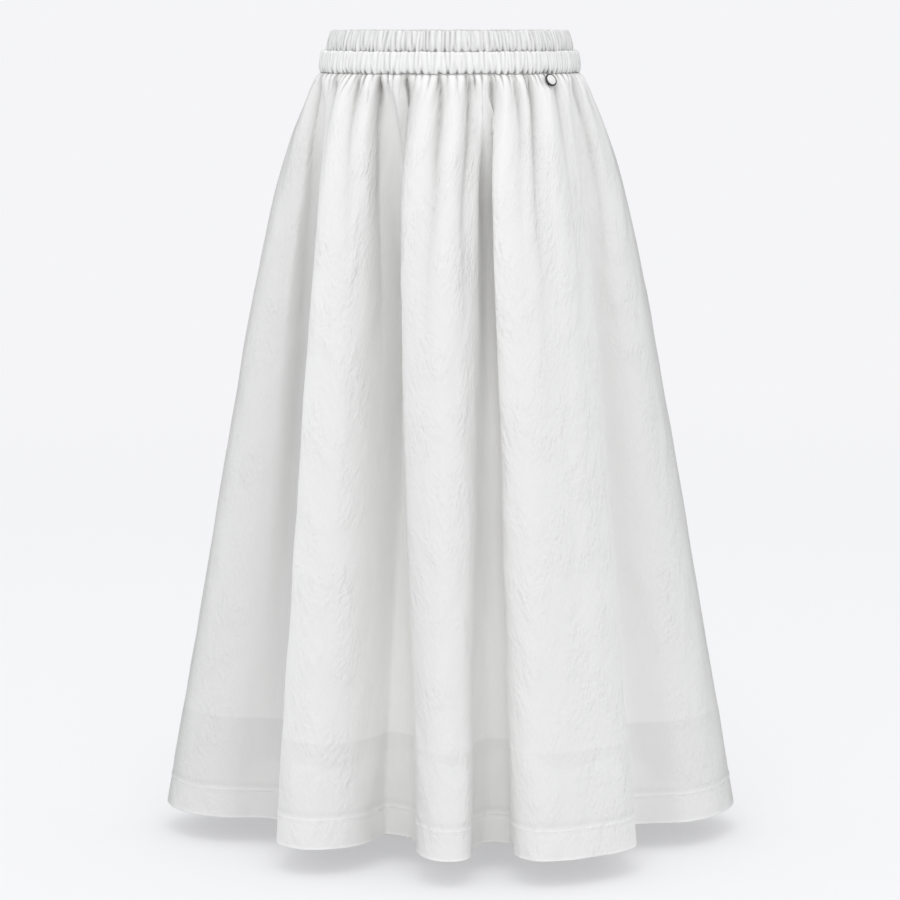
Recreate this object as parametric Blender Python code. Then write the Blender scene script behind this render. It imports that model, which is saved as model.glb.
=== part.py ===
"""A long A-line skirt on an elastic waistband, filled out as it is when worn.

Two gathered elastic channels make the waistband. Below them the front and back panels are gathered
into the waist seam and fall in nine deep flutes to a turned-up hem. A lining follows them inside
and stops short of the hem. A small round charm of two pieces sits under the band.

The origin is in the middle of the waistband, between the two channels, with +Z up and -Y to the
front. An angle is a place round the waist, in degrees: -90 is the left side seam as the picture
shows it, 0 the middle of the front, 90 the right side seam and 180 the middle of the back.
All lengths are metres.
"""

import math
from bisect import bisect_right
from collections import namedtuple

import bmesh
import bpy
from mathutils import Matrix, Vector

SEAM_GAP = 0.0003

# Waistband: two rings, each an ellipse in plan that is deeper or shallower by the same amount.
CHANNEL_HEIGHT = 0.0240
UPPER_THICKNESS = 0.0060
LOWER_THICKNESS = 0.0085  # thicker, so that the upper channel stands on it
CHANNEL_GATHERS = 70
CHANNEL_GATHER_HEIGHT = 0.0009
CHANNEL_GATHER_AT_EDGE = 0.5  # share of the gathers' height that is left at the channel's edges
WIDTH_OVER_DEPTH = 0.0360  # a waist ellipse's half width less its half depth

ChannelRow = namedtuple("ChannelRow", "height half_width bulge")
UPPER_CHANNEL = (
    ChannelRow(0.0, 0.1405, 0.0),
    ChannelRow(0.3, 0.1410, 1.0),
    ChannelRow(0.7, 0.1388, 1.0),
    ChannelRow(1.0, 0.1362, 0.0),
)
LOWER_CHANNEL = (
    ChannelRow(0.0, 0.1480, 0.0),
    ChannelRow(0.3, 0.1502, 1.0),
    ChannelRow(0.7, 0.1494, 1.0),
    ChannelRow(1.0, 0.1476, 0.0),
)

# Skirt body.
WAIST_SEAM_Z = -CHANNEL_HEIGHT - SEAM_GAP
WAIST_SEAM_HALF_WIDTH = 0.1485
SKIRT_DROP = 0.8600  # height from the waist seam to the hem's edge
PUFF = 0.20  # share of the flare that the gathers push out just below the seam
PUFF_REACH = 0.080
CLOTH = 0.0016
PANEL_ANGLE = 180  # how far round the waist each panel goes
PANEL_GATHERS = 28
PANEL_COLUMNS = 4 * PANEL_GATHERS  # lines of points down a panel, four to each gather
HANGING_COLUMNS = PANEL_COLUMNS // 2
FINE_STEPS = 720  # steps along a panel's line when its columns are spaced evenly
GATHER_HEIGHT = 0.0028
GATHER_AT_SEAM = 0.35  # share of the gathers' height where the seam pinches them
GATHER_RISE = 0.0120
GATHER_REACH = 0.0450
GATHER_UNEVENNESS = 0.30
GATHER_RHYTHM = 0.37  # how often, to a gather, the taller ones come
HEM_DEPTH = 0.0320
HEM_STEP = 0.0010

# Heights of the panels' rows of points, as drops from the waist seam. The rows of the gathered
# part have all the columns, and those below have every other one.
GATHERED_DROPS = (0.0, 0.007, 0.018, 0.036, 0.060, 0.095)
HANGING_DROPS = (0.145, 0.220, 0.330, 0.480, 0.655)

# The lining hangs inside the panels, smooth where they are gathered.
LINING_DROP = 0.7420
LINING_DROPS = (0.0, 0.020, 0.050, 0.110, 0.220, 0.360, 0.530, LINING_DROP)
LINING_INSET_AT_SEAM = 0.0032
LINING_INSET = 0.0072
LINING_EASE = 0.0200
GATHER_DEPTH = 0.0060  # how much more the lining is set in behind the gathers
GATHER_DEPTH_REACH = 0.1300

# The hem's line in plan, one row for each crest, edge and valley floor, from the left side seam
# round the front and the back to the left side seam again. The angle is where the fold of that
# row starts in the waist seam. The heading is the way the line runs there, in degrees from +X,
# and before and after are how far it holds that heading on its way in and out. Lining is how
# much of the skirt's spread the lining takes there. Belly is how far the fold stands forward, or
# back behind the side seams, at a third of the way down.
HemRow = namedtuple("HemRow", "name angle x y heading before after lining belly")
HEM = (
    HemRow("left side", -90, -0.3360, 0.0000, -90, 0.050, 0.045, 0.88, 0.000),
    HemRow("recess A", -74, -0.2450, -0.0845, 2, 0.045, 0.022, 0.88, 0.006),
    HemRow("valley AB", -63, -0.1955, -0.0980, -40, 0.018, 0.022, 0.88, -0.020),
    HemRow("left edge of B", -60, -0.1975, -0.1860, -96, 0.026, 0.020, 0.72, 0.032),
    HemRow("crest B", -46, -0.1530, -0.2305, 4, 0.022, 0.064, 0.88, 0.028),
    HemRow("valley BC", -22.5, -0.0735, -0.1605, -14, 0.008, 0.034, 0.90, -0.020),
    HemRow("left edge of C", -19, -0.0380, -0.2250, -100, 0.030, 0.020, 0.75, 0.032),
    HemRow("crest C", -5, -0.0050, -0.2805, 0, 0.018, 0.026, 0.65, 0.028),
    HemRow("right edge of C", 9, 0.0290, -0.2280, 80, 0.012, 0.010, 0.75, 0.014),
    HemRow("valley CD", 13, 0.0470, -0.1945, -6, 0.010, 0.026, 0.90, 0.006),
    HemRow("left edge of D", 16, 0.0685, -0.2330, -102, 0.022, 0.018, 0.75, 0.030),
    HemRow("crest D", 26, 0.1040, -0.2790, 3, 0.020, 0.030, 0.68, 0.026),
    HemRow("shoulder of D", 41, 0.1720, -0.2520, 28, 0.024, 0.014, 0.70, 0.018),
    HemRow("right edge of D", 55, 0.2115, -0.2030, 92, 0.022, 0.024, 0.74, 0.006),
    HemRow("valley DE", 60, 0.2080, -0.1210, 55, 0.022, 0.010, 0.88, -0.006),
    HemRow("recess E", 73, 0.2600, -0.1085, 6, 0.026, 0.036, 0.88, 0.006),
    HemRow("right side", 90, 0.3380, 0.0000, 90, 0.050, 0.040, 0.92, 0.000),
    HemRow("valley EF", 110, 0.2560, 0.1060, 140, 0.026, 0.028, 0.90, -0.012),
    HemRow("crest F", 129, 0.2180, 0.2240, 165, 0.046, 0.036, 0.72, 0.016),
    HemRow("valley FG", 146, 0.1380, 0.1580, 180, 0.030, 0.026, 0.90, -0.014),
    HemRow("crest G", 163, 0.0740, 0.2740, 180, 0.046, 0.036, 0.68, 0.020),
    HemRow("valley GH", 181, 0.0060, 0.1750, 180, 0.026, 0.026, 0.90, -0.016),
    HemRow("crest H", 197, -0.0680, 0.2680, 184, 0.036, 0.040, 0.68, 0.020),
    HemRow("valley HI", 216, -0.1420, 0.1600, 180, 0.026, 0.026, 0.90, -0.014),
    HemRow("crest I", 232, -0.2240, 0.2120, 200, 0.036, 0.046, 0.72, 0.016),
    HemRow("valley IA", 252, -0.2600, 0.0980, 215, 0.026, 0.026, 0.90, -0.012),
    HemRow("left side", 270, -0.3360, 0.0000, 270, 0.045, 0.050, 0.88, 0.000),
)

# Soft ridges, and troughs where the height is negative, that the gathers merge into below the
# seam. Width is in degrees, and reach is the drop over which the height halves.
Ridge = namedtuple("Ridge", "angle height width reach")
RIDGES = (
    Ridge(-82.0, 0.0040, 3.6, 0.070),
    Ridge(-77.8, -0.0025, 2.2, 0.060),
    Ridge(-70.6, 0.0055, 3.4, 0.090),
    Ridge(-64.1, -0.0030, 2.2, 0.070),
    Ridge(-51.0, 0.0070, 3.4, 0.090),
    Ridge(-45.1, -0.0020, 2.2, 0.060),
    Ridge(-39.1, 0.0070, 3.2, 0.120),
    Ridge(-33.5, -0.0030, 2.2, 0.075),
    Ridge(-28.3, 0.0040, 2.4, 0.060),
    Ridge(-22.5, -0.0030, 2.2, 0.090),
    Ridge(-12.7, 0.0070, 4.0, 0.110),
    Ridge(-4.7, -0.0030, 2.2, 0.070),
    Ridge(0.6, 0.0065, 3.0, 0.110),
    Ridge(6.8, -0.0030, 2.2, 0.060),
    Ridge(14.1, 0.0055, 1.8, 0.070),
    Ridge(17.4, -0.0030, 2.2, 0.090),
    Ridge(23.7, 0.0070, 3.2, 0.110),
    Ridge(29.4, -0.0020, 2.2, 0.060),
    Ridge(32.8, 0.0050, 2.2, 0.090),
    Ridge(36.2, -0.0030, 2.2, 0.070),
    Ridge(43.8, 0.0070, 3.8, 0.100),
    Ridge(52.9, -0.0027, 2.2, 0.060),
    Ridge(66.8, 0.0060, 4.0, 0.110),
    Ridge(71.4, -0.0018, 2.2, 0.060),
    Ridge(81.0, 0.0040, 3.6, 0.080),
    Ridge(99.0, 0.0045, 4.0, 0.100),
    Ridge(109.0, -0.0025, 2.2, 0.070),
    Ridge(120.0, 0.0065, 4.0, 0.120),
    Ridge(127.0, -0.0030, 2.2, 0.080),
    Ridge(134.0, 0.0070, 4.0, 0.110),
    Ridge(144.0, -0.0030, 2.2, 0.090),
    Ridge(155.0, 0.0065, 3.5, 0.120),
    Ridge(162.0, -0.0030, 2.2, 0.060),
    Ridge(169.0, 0.0060, 3.5, 0.130),
    Ridge(179.0, -0.0030, 2.2, 0.080),
    Ridge(190.0, 0.0070, 4.0, 0.110),
    Ridge(198.0, -0.0030, 2.2, 0.070),
    Ridge(206.0, 0.0060, 3.5, 0.120),
    Ridge(216.0, -0.0030, 2.2, 0.090),
    Ridge(226.0, 0.0070, 4.0, 0.120),
    Ridge(233.0, -0.0025, 2.2, 0.060),
    Ridge(241.0, 0.0060, 3.5, 0.090),
    Ridge(251.0, -0.0030, 2.2, 0.080),
    Ridge(261.0, 0.0045, 4.0, 0.100),
)
RIDGE_RISE = 0.0320

# Charm: a metal cup with a coin edge and a plain white dome set in it, on a short shank.
CHARM_ANGLE = 46.9
CHARM_DROP = 0.0072
CHARM_STAND_OFF = 0.0040  # from the skirt's mean surface to the back of the cup
CHARM_TILT = 27.0  # degrees that the charm leans back, as the cloth below the seam does
CUP_RADIUS = 0.0075
CUP_HEIGHT = 0.0026
CUP_WALL = 0.0012
CUP_FLOOR = 0.0010
CUP_NOTCHES = 24
CUP_NOTCH_DEPTH = 0.0003
DOME_RISE = 0.0018
DOME_RINGS = 4

Material = namedtuple("Material", "colour roughness metallic")
SKIRT_CLOTH = Material((0.80, 0.80, 0.79), 0.70, 0.0)
LINING_CLOTH = Material((0.86, 0.86, 0.86), 0.60, 0.0)
DARK_METAL = Material((0.07, 0.07, 0.08), 0.30, 1.0)
WHITE_ENAMEL = Material((0.82, 0.81, 0.79), 0.20, 0.0)

SHARP_ANGLE = math.radians(50)


def smooth_step(value, end):
    """Rises smoothly from 0 at 0 to 1 at end."""
    share = min(max(value / end, 0.0), 1.0)
    return share * share * (3 - 2 * share)


def ellipse_point(angle, half_width):
    """The point in plan at this place on a waist ellipse."""
    turn = math.radians(angle)
    half_depth = half_width - WIDTH_OVER_DEPTH
    return Vector((half_width * math.sin(turn), -half_depth * math.cos(turn)))


def bezier_point(points, share):
    """The point this share of the way along a Bezier curve."""
    while len(points) > 1:
        points = [first.lerp(second, share) for first, second in zip(points, points[1:])]
    return points[0]


def heading_vector(row, length):
    """A step of this length the way that the hem's line runs at a row."""
    turn = math.radians(row.heading)
    return Vector((math.cos(turn), math.sin(turn))) * length


def hem_place(angle):
    """The rows of the hem's line on either side of a place, and the share of the way between."""
    start, end = next(pair for pair in zip(HEM, HEM[1:]) if angle <= pair[1].angle)
    return start, end, (angle - start.angle) / (end.angle - start.angle)


def hem_point(angle):
    """The point in plan where the fold from this place in the waist seam reaches the hem."""
    start, end, share = hem_place(angle)
    first = Vector((start.x, start.y))
    last = Vector((end.x, end.y))
    out = first + heading_vector(start, start.after)
    back = last - heading_vector(end, end.before)
    return bezier_point([first, out, back, last], share)


def spread(drop):
    """How far, from 0 to 1, the cloth has gone from the waist's line to the hem's."""
    return PUFF * (1 - math.exp(-drop / PUFF_REACH)) + (1 - PUFF) * drop / SKIRT_DROP


def belly(angle, drop):
    """How far the skirt stands out at this place and height, along Y: forward in front of the
    side seams and back behind them."""
    start, end, share = hem_place(angle)
    out = start.belly + (end.belly - start.belly) * smooth_step(share, 1.0)
    down = drop / SKIRT_DROP
    return out * 6.75 * down * (1 - down) ** 2


def add_belly(point, angle, reach):
    """Moves a point in plan this far forward, or back behind the side seams."""
    return point + Vector((0, -reach if angle < 90 else reach))


def skirt_point(angle, drop):
    """The point in plan of the skirt's flutes alone, without gathers and ridges."""
    point = ellipse_point(angle, WAIST_SEAM_HALF_WIDTH).lerp(hem_point(angle), spread(drop))
    return add_belly(point, angle, belly(angle, drop))


def lining_point(angle, drop):
    """The point in plan that the lining is set in from: the skirt's, drawn in where its flutes
    are deep."""
    start, end, share = hem_place(angle)
    taken = start.lining + (end.lining - start.lining) * smooth_step(share, 1.0)
    waist = ellipse_point(angle, WAIST_SEAM_HALF_WIDTH)
    point = waist.lerp(hem_point(angle), spread(drop) * taken)
    return add_belly(point, angle, min(belly(angle, drop), 0.0))


def lining_inset(drop):
    """How far the lining is set in from its line at this height."""
    deepest = LINING_INSET + GATHER_DEPTH * math.exp(-((drop / GATHER_DEPTH_REACH) ** 2))
    return LINING_INSET_AT_SEAM + (deepest - LINING_INSET_AT_SEAM) * smooth_step(drop, LINING_EASE)


def even_line(point_at, start, drop, columns):
    """One panel's line in plan at a drop, as points that are evenly spaced along it from one
    side seam to the other."""
    fine = []
    for step in range(FINE_STEPS + 1):
        fine.append(point_at(start + PANEL_ANGLE * step / FINE_STEPS, drop))
    lengths = [0.0]
    for first, second in zip(fine, fine[1:]):
        lengths.append(lengths[-1] + (second - first).length)
    line = []
    for column in range(columns + 1):
        along = lengths[-1] * column / columns
        after = min(bisect_right(lengths, along), FINE_STEPS)
        share = (along - lengths[after - 1]) / (lengths[after] - lengths[after - 1])
        line.append(fine[after - 1].lerp(fine[after], share))
    return line


def across_seam(point):
    """The matching point on the other side of the side seams."""
    return Vector((point.x, -point.y))


def move_out(line, distances):
    """Moves each point of a panel's line out of the skirt, square to the line, by its own
    distance."""
    longer = [across_seam(line[1]), *line, across_seam(line[-2])]
    moved = []
    for before, point, after, distance in zip(longer, line, longer[2:], distances):
        along = (after - before).normalized()
        moved.append(point + Vector((along.y, -along.x)) * distance)
    return moved


def gather_height(angle, drop):
    """How far the gathers and ridges raise the cloth that starts at this place in the seam."""
    turns = PANEL_GATHERS * (angle - HEM[0].angle) / PANEL_ANGLE
    uneven = 1 + GATHER_UNEVENNESS * math.sin(math.tau * turns * GATHER_RHYTHM)
    rise = GATHER_AT_SEAM + (1 - GATHER_AT_SEAM) * smooth_step(drop, GATHER_RISE)
    fade = math.exp(-((drop / GATHER_REACH) ** 2))
    height = GATHER_HEIGHT * uneven * rise * fade * math.cos(math.tau * turns)
    for ridge in RIDGES:
        across = math.exp(-(((angle - ridge.angle) / ridge.width) ** 2))
        fade = smooth_step(drop, RIDGE_RISE) * 0.5 ** (drop / ridge.reach)
        height += ridge.height * across * fade
    return height


def panel_line(start, drop, columns):
    """The line in plan of a panel's outer face at a drop, gathers and ridges included."""
    line = even_line(skirt_point, start, drop, columns)
    places = [start + PANEL_ANGLE * column / columns for column in range(columns + 1)]
    return move_out(line, [gather_height(place, drop) for place in places])


def add_row(mesh, line, drop, inset=0.0):
    """Adds a row of corners on a panel's line or set in from it, with half the seam's gap left
    at both ends."""
    row = move_out(line, [-inset] * len(line))
    for end, neighbour in ((0, 1), (-1, -2)):
        row[end] += (row[neighbour] - row[end]).normalized() * SEAM_GAP / 2
    return [mesh.verts.new((point.x, point.y, WAIST_SEAM_Z - drop)) for point in row]


def stitch(mesh, first, second):
    """Fills between two rows of corners, where the second may have fewer than the first."""
    step = (len(first) - 1) // (len(second) - 1)
    middle = (step + 1) // 2
    for place in range(len(second) - 1):
        left, right = second[place:place + 2]
        fan = first[place * step:(place + 1) * step + 1]
        for corner in range(middle):
            mesh.faces.new((fan[corner], fan[corner + 1], left))
        for corner in range(middle, step):
            mesh.faces.new((fan[corner], fan[corner + 1], right))
        mesh.faces.new((left, fan[middle], right))


def close_wall(mesh, outer_rows, inner_rows):
    """Makes one closed wall from the rows of its two faces."""
    for rows in (outer_rows, inner_rows):
        for upper, lower in zip(rows, rows[1:]):
            stitch(mesh, upper, lower)
    stitch(mesh, outer_rows[0], inner_rows[0])
    stitch(mesh, outer_rows[-1], inner_rows[-1])


def close_ends(mesh, outer_rows, inner_rows):
    """Closes a panel's wall along its two side seams."""
    for end in (0, -1):
        outer = [row[end] for row in outer_rows]
        inner = [row[end] for row in inner_rows]
        stitch(mesh, outer, inner)


def add_object(name, mesh, material):
    """Turns a finished mesh into a named object with a material of its own."""
    bmesh.ops.recalc_face_normals(mesh, faces=mesh.faces)
    data = bpy.data.meshes.new(name)
    mesh.to_mesh(data)
    mesh.free()
    data.shade_smooth()
    data.set_sharp_from_angle(angle=SHARP_ANGLE)
    finish = bpy.data.materials.new(name)
    finish.use_nodes = True
    shader = finish.node_tree.nodes["Principled BSDF"]
    shader.inputs["Base Color"].default_value = (*material.colour, 1)
    shader.inputs["Roughness"].default_value = material.roughness
    shader.inputs["Metallic"].default_value = material.metallic
    data.materials.append(finish)
    part = bpy.data.objects.new(name, data)
    bpy.context.collection.objects.link(part)
    return part


def add_corners(mesh, points):
    """Adds a row of corners to a mesh."""
    return [mesh.verts.new(point) for point in points]


def make_channel(name, rows, thickness, bottom):
    """One elastic channel: a ring with gathers in its outer face and a plain inner face."""
    mesh = bmesh.new()
    outer_rows = []
    outer_count = 2 * CHANNEL_GATHERS
    for row in rows:
        height = CHANNEL_GATHER_HEIGHT
        height *= CHANNEL_GATHER_AT_EDGE + (1 - CHANNEL_GATHER_AT_EDGE) * row.bulge
        z = bottom + row.height * (CHANNEL_HEIGHT - SEAM_GAP / 2)
        points = []
        for column in range(outer_count):
            angle = column * 360 / outer_count
            side = 1 if column % 2 else -1
            points.append((*ellipse_point(angle, row.half_width + side * height), z))
        corners = add_corners(mesh, points)
        outer_rows.append(corners + corners[:1])
    inner_rows = []
    for row in (rows[0], rows[-1]):
        z = bottom + row.height * (CHANNEL_HEIGHT - SEAM_GAP / 2)
        points = []
        for column in range(CHANNEL_GATHERS):
            angle = column * 360 / CHANNEL_GATHERS
            points.append((*ellipse_point(angle, row.half_width - thickness), z))
        corners = add_corners(mesh, points)
        inner_rows.append(corners + corners[:1])
    close_wall(mesh, outer_rows, inner_rows)
    return add_object(name, mesh, SKIRT_CLOTH)


def make_panel(name, start):
    """A gathered panel from the waist seam to the hem, whose turned-up hem doubles its wall."""
    hem_line = SKIRT_DROP - HEM_DEPTH
    rows = [(drop, CLOTH, PANEL_COLUMNS) for drop in GATHERED_DROPS]
    rows += [(drop, CLOTH, HANGING_COLUMNS) for drop in (*HANGING_DROPS, hem_line)]
    rows += [(drop, 2 * CLOTH, HANGING_COLUMNS) for drop in (hem_line + HEM_STEP, SKIRT_DROP)]
    mesh = bmesh.new()
    outer_rows = []
    inner_rows = []
    for drop, thickness, columns in rows:
        line = panel_line(start, drop, columns)
        outer_rows.append(add_row(mesh, line, drop))
        inner_rows.append(add_row(mesh, line, drop, thickness))
    close_wall(mesh, outer_rows, inner_rows)
    close_ends(mesh, outer_rows, inner_rows)
    return add_object(name, mesh, SKIRT_CLOTH)


def make_lining(name, start):
    """A panel of the lining, which follows the flutes inside and ends above the hem."""
    mesh = bmesh.new()
    outer_rows = []
    inner_rows = []
    for drop in LINING_DROPS:
        inset = lining_inset(drop)
        line = even_line(lining_point, start, drop, HANGING_COLUMNS)
        outer_rows.append(add_row(mesh, line, drop, inset))
        inner_rows.append(add_row(mesh, line, drop, inset + CLOTH))
    close_wall(mesh, outer_rows, inner_rows)
    close_ends(mesh, outer_rows, inner_rows)
    return add_object(name, mesh, LINING_CLOTH)


def turned_rows(mesh, profile, count, notch):
    """Rows of corners for a piece turned round Z, with notches in the rows at full radius."""
    rows = []
    for radius, z in profile:
        points = []
        for column in range(count):
            turn = math.tau * column / count
            reach = radius - (notch if column % 2 and radius == CUP_RADIUS else 0.0)
            points.append((reach * math.cos(turn), reach * math.sin(turn), z))
        corners = add_corners(mesh, points)
        rows.append(corners + corners[:1])
    return rows


def make_turned(name, profile, count, material, notch=0.0):
    """A solid turned round Z from its profile, closed by a face at both ends."""
    mesh = bmesh.new()
    rows = turned_rows(mesh, profile, count, notch)
    for lower, upper in zip(rows, rows[1:]):
        stitch(mesh, lower, upper)
    mesh.faces.new(rows[0][:-1])
    mesh.faces.new(rows[-1][:-1])
    return add_object(name, mesh, material)


def place_charm(piece):
    """Stands a piece that was made facing +Z on the cloth, facing out of it."""
    point = skirt_point(CHARM_ANGLE, CHARM_DROP)
    along = skirt_point(CHARM_ANGLE + 1, CHARM_DROP) - skirt_point(CHARM_ANGLE - 1, CHARM_DROP)
    out = Vector((along.y, -along.x, 0)).normalized()
    centre = point.to_3d() + out * CHARM_STAND_OFF + Vector((0, 0, WAIST_SEAM_Z - CHARM_DROP))
    facing = out + Vector((0, 0, math.tan(math.radians(CHARM_TILT))))
    turn = facing.to_track_quat("Z", "Y").to_matrix().to_4x4()
    piece.data.transform(Matrix.Translation(centre) @ turn)


def make_charm():
    """The charm's cup and the dome set in it."""
    inner = CUP_RADIUS - CUP_WALL
    cup = (
        (CUP_RADIUS, 0.0),
        (CUP_RADIUS, CUP_HEIGHT),
        (inner, CUP_HEIGHT),
        (inner, CUP_FLOOR),
    )
    place_charm(make_turned("charm_cup", cup, 2 * CUP_NOTCHES, DARK_METAL, CUP_NOTCH_DEPTH))
    foot = inner - SEAM_GAP
    dome = [(foot, CUP_FLOOR + SEAM_GAP)]
    for ring in range(DOME_RINGS):
        turn = math.pi / 2 * ring / DOME_RINGS
        dome.append((foot * math.cos(turn), CUP_HEIGHT + DOME_RISE * math.sin(turn)))
    place_charm(make_turned("charm_dome", dome, CUP_NOTCHES, WHITE_ENAMEL))


def main():
    """Makes every piece of the skirt."""
    for old in list(bpy.data.objects):
        bpy.data.objects.remove(old)
    make_channel("waistband_upper", UPPER_CHANNEL, UPPER_THICKNESS, SEAM_GAP / 2)
    make_channel("waistband_lower", LOWER_CHANNEL, LOWER_THICKNESS, -CHANNEL_HEIGHT)
    make_panel("front_panel", -90)
    make_panel("back_panel", 90)
    make_lining("lining_front", -90)
    make_lining("lining_back", 90)
    make_charm()


if __name__ == "__main__":
    main()
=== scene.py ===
"""Looks for a long white gathered skirt: fine crumpled cloth over a lining, on an elastic band.

An angle is a place round the waist, in degrees: -90 is the left side seam as the picture shows it,
0 the middle of the front, 90 the right side seam and 180 the middle of the back. A drop is a
height below the waist seam. Lengths are metres, +Z is up and -Y is the front.
"""

import math
from collections import namedtuple

import bmesh
import bpy
import numpy as np
from bpy.props import FloatProperty, FloatVectorProperty, IntProperty, PointerProperty
from mathutils import Matrix, Vector


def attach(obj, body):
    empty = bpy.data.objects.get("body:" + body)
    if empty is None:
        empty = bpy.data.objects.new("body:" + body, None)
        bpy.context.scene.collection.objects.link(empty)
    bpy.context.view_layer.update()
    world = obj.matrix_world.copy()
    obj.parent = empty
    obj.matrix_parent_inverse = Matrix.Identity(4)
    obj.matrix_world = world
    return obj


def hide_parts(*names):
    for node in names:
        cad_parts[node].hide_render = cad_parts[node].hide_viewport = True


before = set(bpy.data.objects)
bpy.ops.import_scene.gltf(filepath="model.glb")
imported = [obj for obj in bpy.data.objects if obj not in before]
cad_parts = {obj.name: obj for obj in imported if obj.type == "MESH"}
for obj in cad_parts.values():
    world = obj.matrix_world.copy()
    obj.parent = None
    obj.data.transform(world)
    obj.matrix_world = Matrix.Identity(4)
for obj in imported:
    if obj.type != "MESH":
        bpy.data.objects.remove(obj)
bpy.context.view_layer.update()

bl_info = {
    "name": "Gathered Maxi Skirt",
    "version": (1, 0, 0),
    "blender": (4, 5, 0),
    "location": "View3D > Sidebar > Skirt",
    "description": "Makes the cloth, waistband, sewing and charm of a long gathered skirt",
    "category": "Object",
}


def table(kind, *rows):
    """A table's rows, each made into the named kind."""
    return tuple(kind(*row) for row in rows)



SEAM_GAP = 0.0003  # between pieces that are sewn together

# Waistband.
WIDTH_OVER_DEPTH = 0.0360  # a waist ellipse's half width less its half depth
CHANNEL_HEIGHT = 0.0240
CHANNEL_COLUMNS = 1200
CHANNEL_WRINKLES = 165
FINE_WRINKLES = 0.45  # the share of the wrinkles' height that a finer set between them has
WRINKLE_WIDTHS = (0.55, 1.5)
# A wrinkle's darkness is the shade painted in its crease.
WRINKLE_SIZES = ((0.5, 0.25), (1.0, 1.0))  # least and most: how high and how dark each is
WRINKLE_OVERLAP = 1.15
WRINKLE_FADES = (0.0, 0.0, 0.4, 0.8)  # how far wrinkles die out towards a channel's edges
WRINKLE_FADE_HEIGHT = 0.6  # over this share of the channel's height
CHANNEL_CUT = 1.20  # length of the strip that is gathered into a channel
WELD = 1e-6
ChannelRow = namedtuple("ChannelRow", "height half_width wrinkle")

# Each channel's section, up its outer face and down its inner face. Height is a share of the
# channel's height and wrinkle is the share of the wrinkles' depth there.
UPPER_CHANNEL = table(
    ChannelRow,
    (0.00, 0.1385, 0.0),
    (0.00, 0.1412, 0.8),
    (0.06, 0.1420, 1.0),
    (0.20, 0.1416, 1.0),
    (0.40, 0.1406, 1.0),
    (0.60, 0.1395, 1.0),
    (0.80, 0.1380, 1.0),
    (0.94, 0.1368, 1.0),
    (0.99, 0.1358, 0.7),
    (0.985, 0.1344, 0.4),
    (0.90, 0.1334, 0.5),
    (0.50, 0.1336, 0.6),
    (0.12, 0.1352, 0.4),
)
LOWER_CHANNEL = table(
    ChannelRow,
    (0.02, 0.1440, 0.0),
    (0.00, 0.1476, 0.6),
    (0.05, 0.1495, 0.9),
    (0.20, 0.1504, 1.0),
    (0.40, 0.1503, 1.0),
    (0.60, 0.1498, 1.0),
    (0.80, 0.1491, 1.0),
    (0.94, 0.1485, 1.0),
    (1.01, 0.1476, 0.9),
    (1.045, 0.1460, 0.6),
    (1.03, 0.1443, 0.3),
    (0.97, 0.1405, 0.1),
    (0.88, 0.1393, 0.3),
    (0.50, 0.1400, 0.5),
    (0.15, 0.1420, 0.4),
)
# Each channel: its piece, solid, section, the height of its bottom edge, how far round from the
# waist seam's folds its own are, how deep its wrinkles are, how dark the shade painted in their
# streaks and pinches is, how much lighter its cloth is, and the piece that it is sewn to.
Channel = namedtuple("Channel", "piece node table bottom aside depth streak pinch tone rests_on")
CHANNELS = (
    Channel(
        "channel_upper", "waistband_upper", UPPER_CHANNEL, SEAM_GAP / 2, 2.3, 1.25, 2.3, 1.2, 0.040,
        "channel_lower",
    ),
    Channel(
        "channel_lower", "waistband_lower", LOWER_CHANNEL, -CHANNEL_HEIGHT, 0.0, 1.00, 1.45, 2.6,
        0.090, "panel_front",
    ),
)
SCALLOP = 0.0011  # how much the wrinkles move a channel's edges up and down
SCALLOP_HEIGHT = 0.18
CREASE_WIDTH = 0.50  # a crease's half width as a share of its pleat's
# The share of the shade painted in a channel's streaks that lies in its creases.
CREASE_SHARE = 0.55  # the rest of a channel's dark streaks are the hollows of its pleats
# Small folds with painted shade in them where a channel's bottom edge is sewn down, in line with
# the gathers.
CHANNEL_PINCH_WIDTH = 0.48  # their half width in degrees
CHANNEL_PINCH_HEIGHT = 0.20  # their height as a share of the channel's
CHANNEL_PINCH_DEPTH = 0.7  # their depth as a share of the wrinkles'
CHANNEL_PINCHES = ((0.5, 0.6), (1.0, 1.5))  # least and most: how dark and how high each is
SECTION_STEPS = 3  # rows of points to each row of a channel's table

# Skirt body, on the same lines as its solids.
WAIST_SEAM_Z = -0.0243
WAIST_SEAM_HALF_WIDTH = 0.1485
SKIRT_DROP = 0.8600
PUFF = 0.20
PUFF_REACH = 0.080
SIDES = ("front", "back")
PANEL_STARTS = (-90, 90)  # where the front and back panels begin
PANEL_ANGLE = 180
SIDE_GAP = 0.0001  # between the front and back panels at the side seams
FINE_STEPS = 3600
COLUMNS_TO_A_GATHER = 8
LINING_COLUMNS = 160
LINING_DROP = 0.7420
LINING_INSET_AT_SEAM = 0.0032
LINING_INSET = 0.0072
LINING_EASE = 0.0200
GATHER_DEPTH = 0.0060  # how much more the lining is set in behind the gathers
GATHER_DEPTH_REACH = 0.1300
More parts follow.
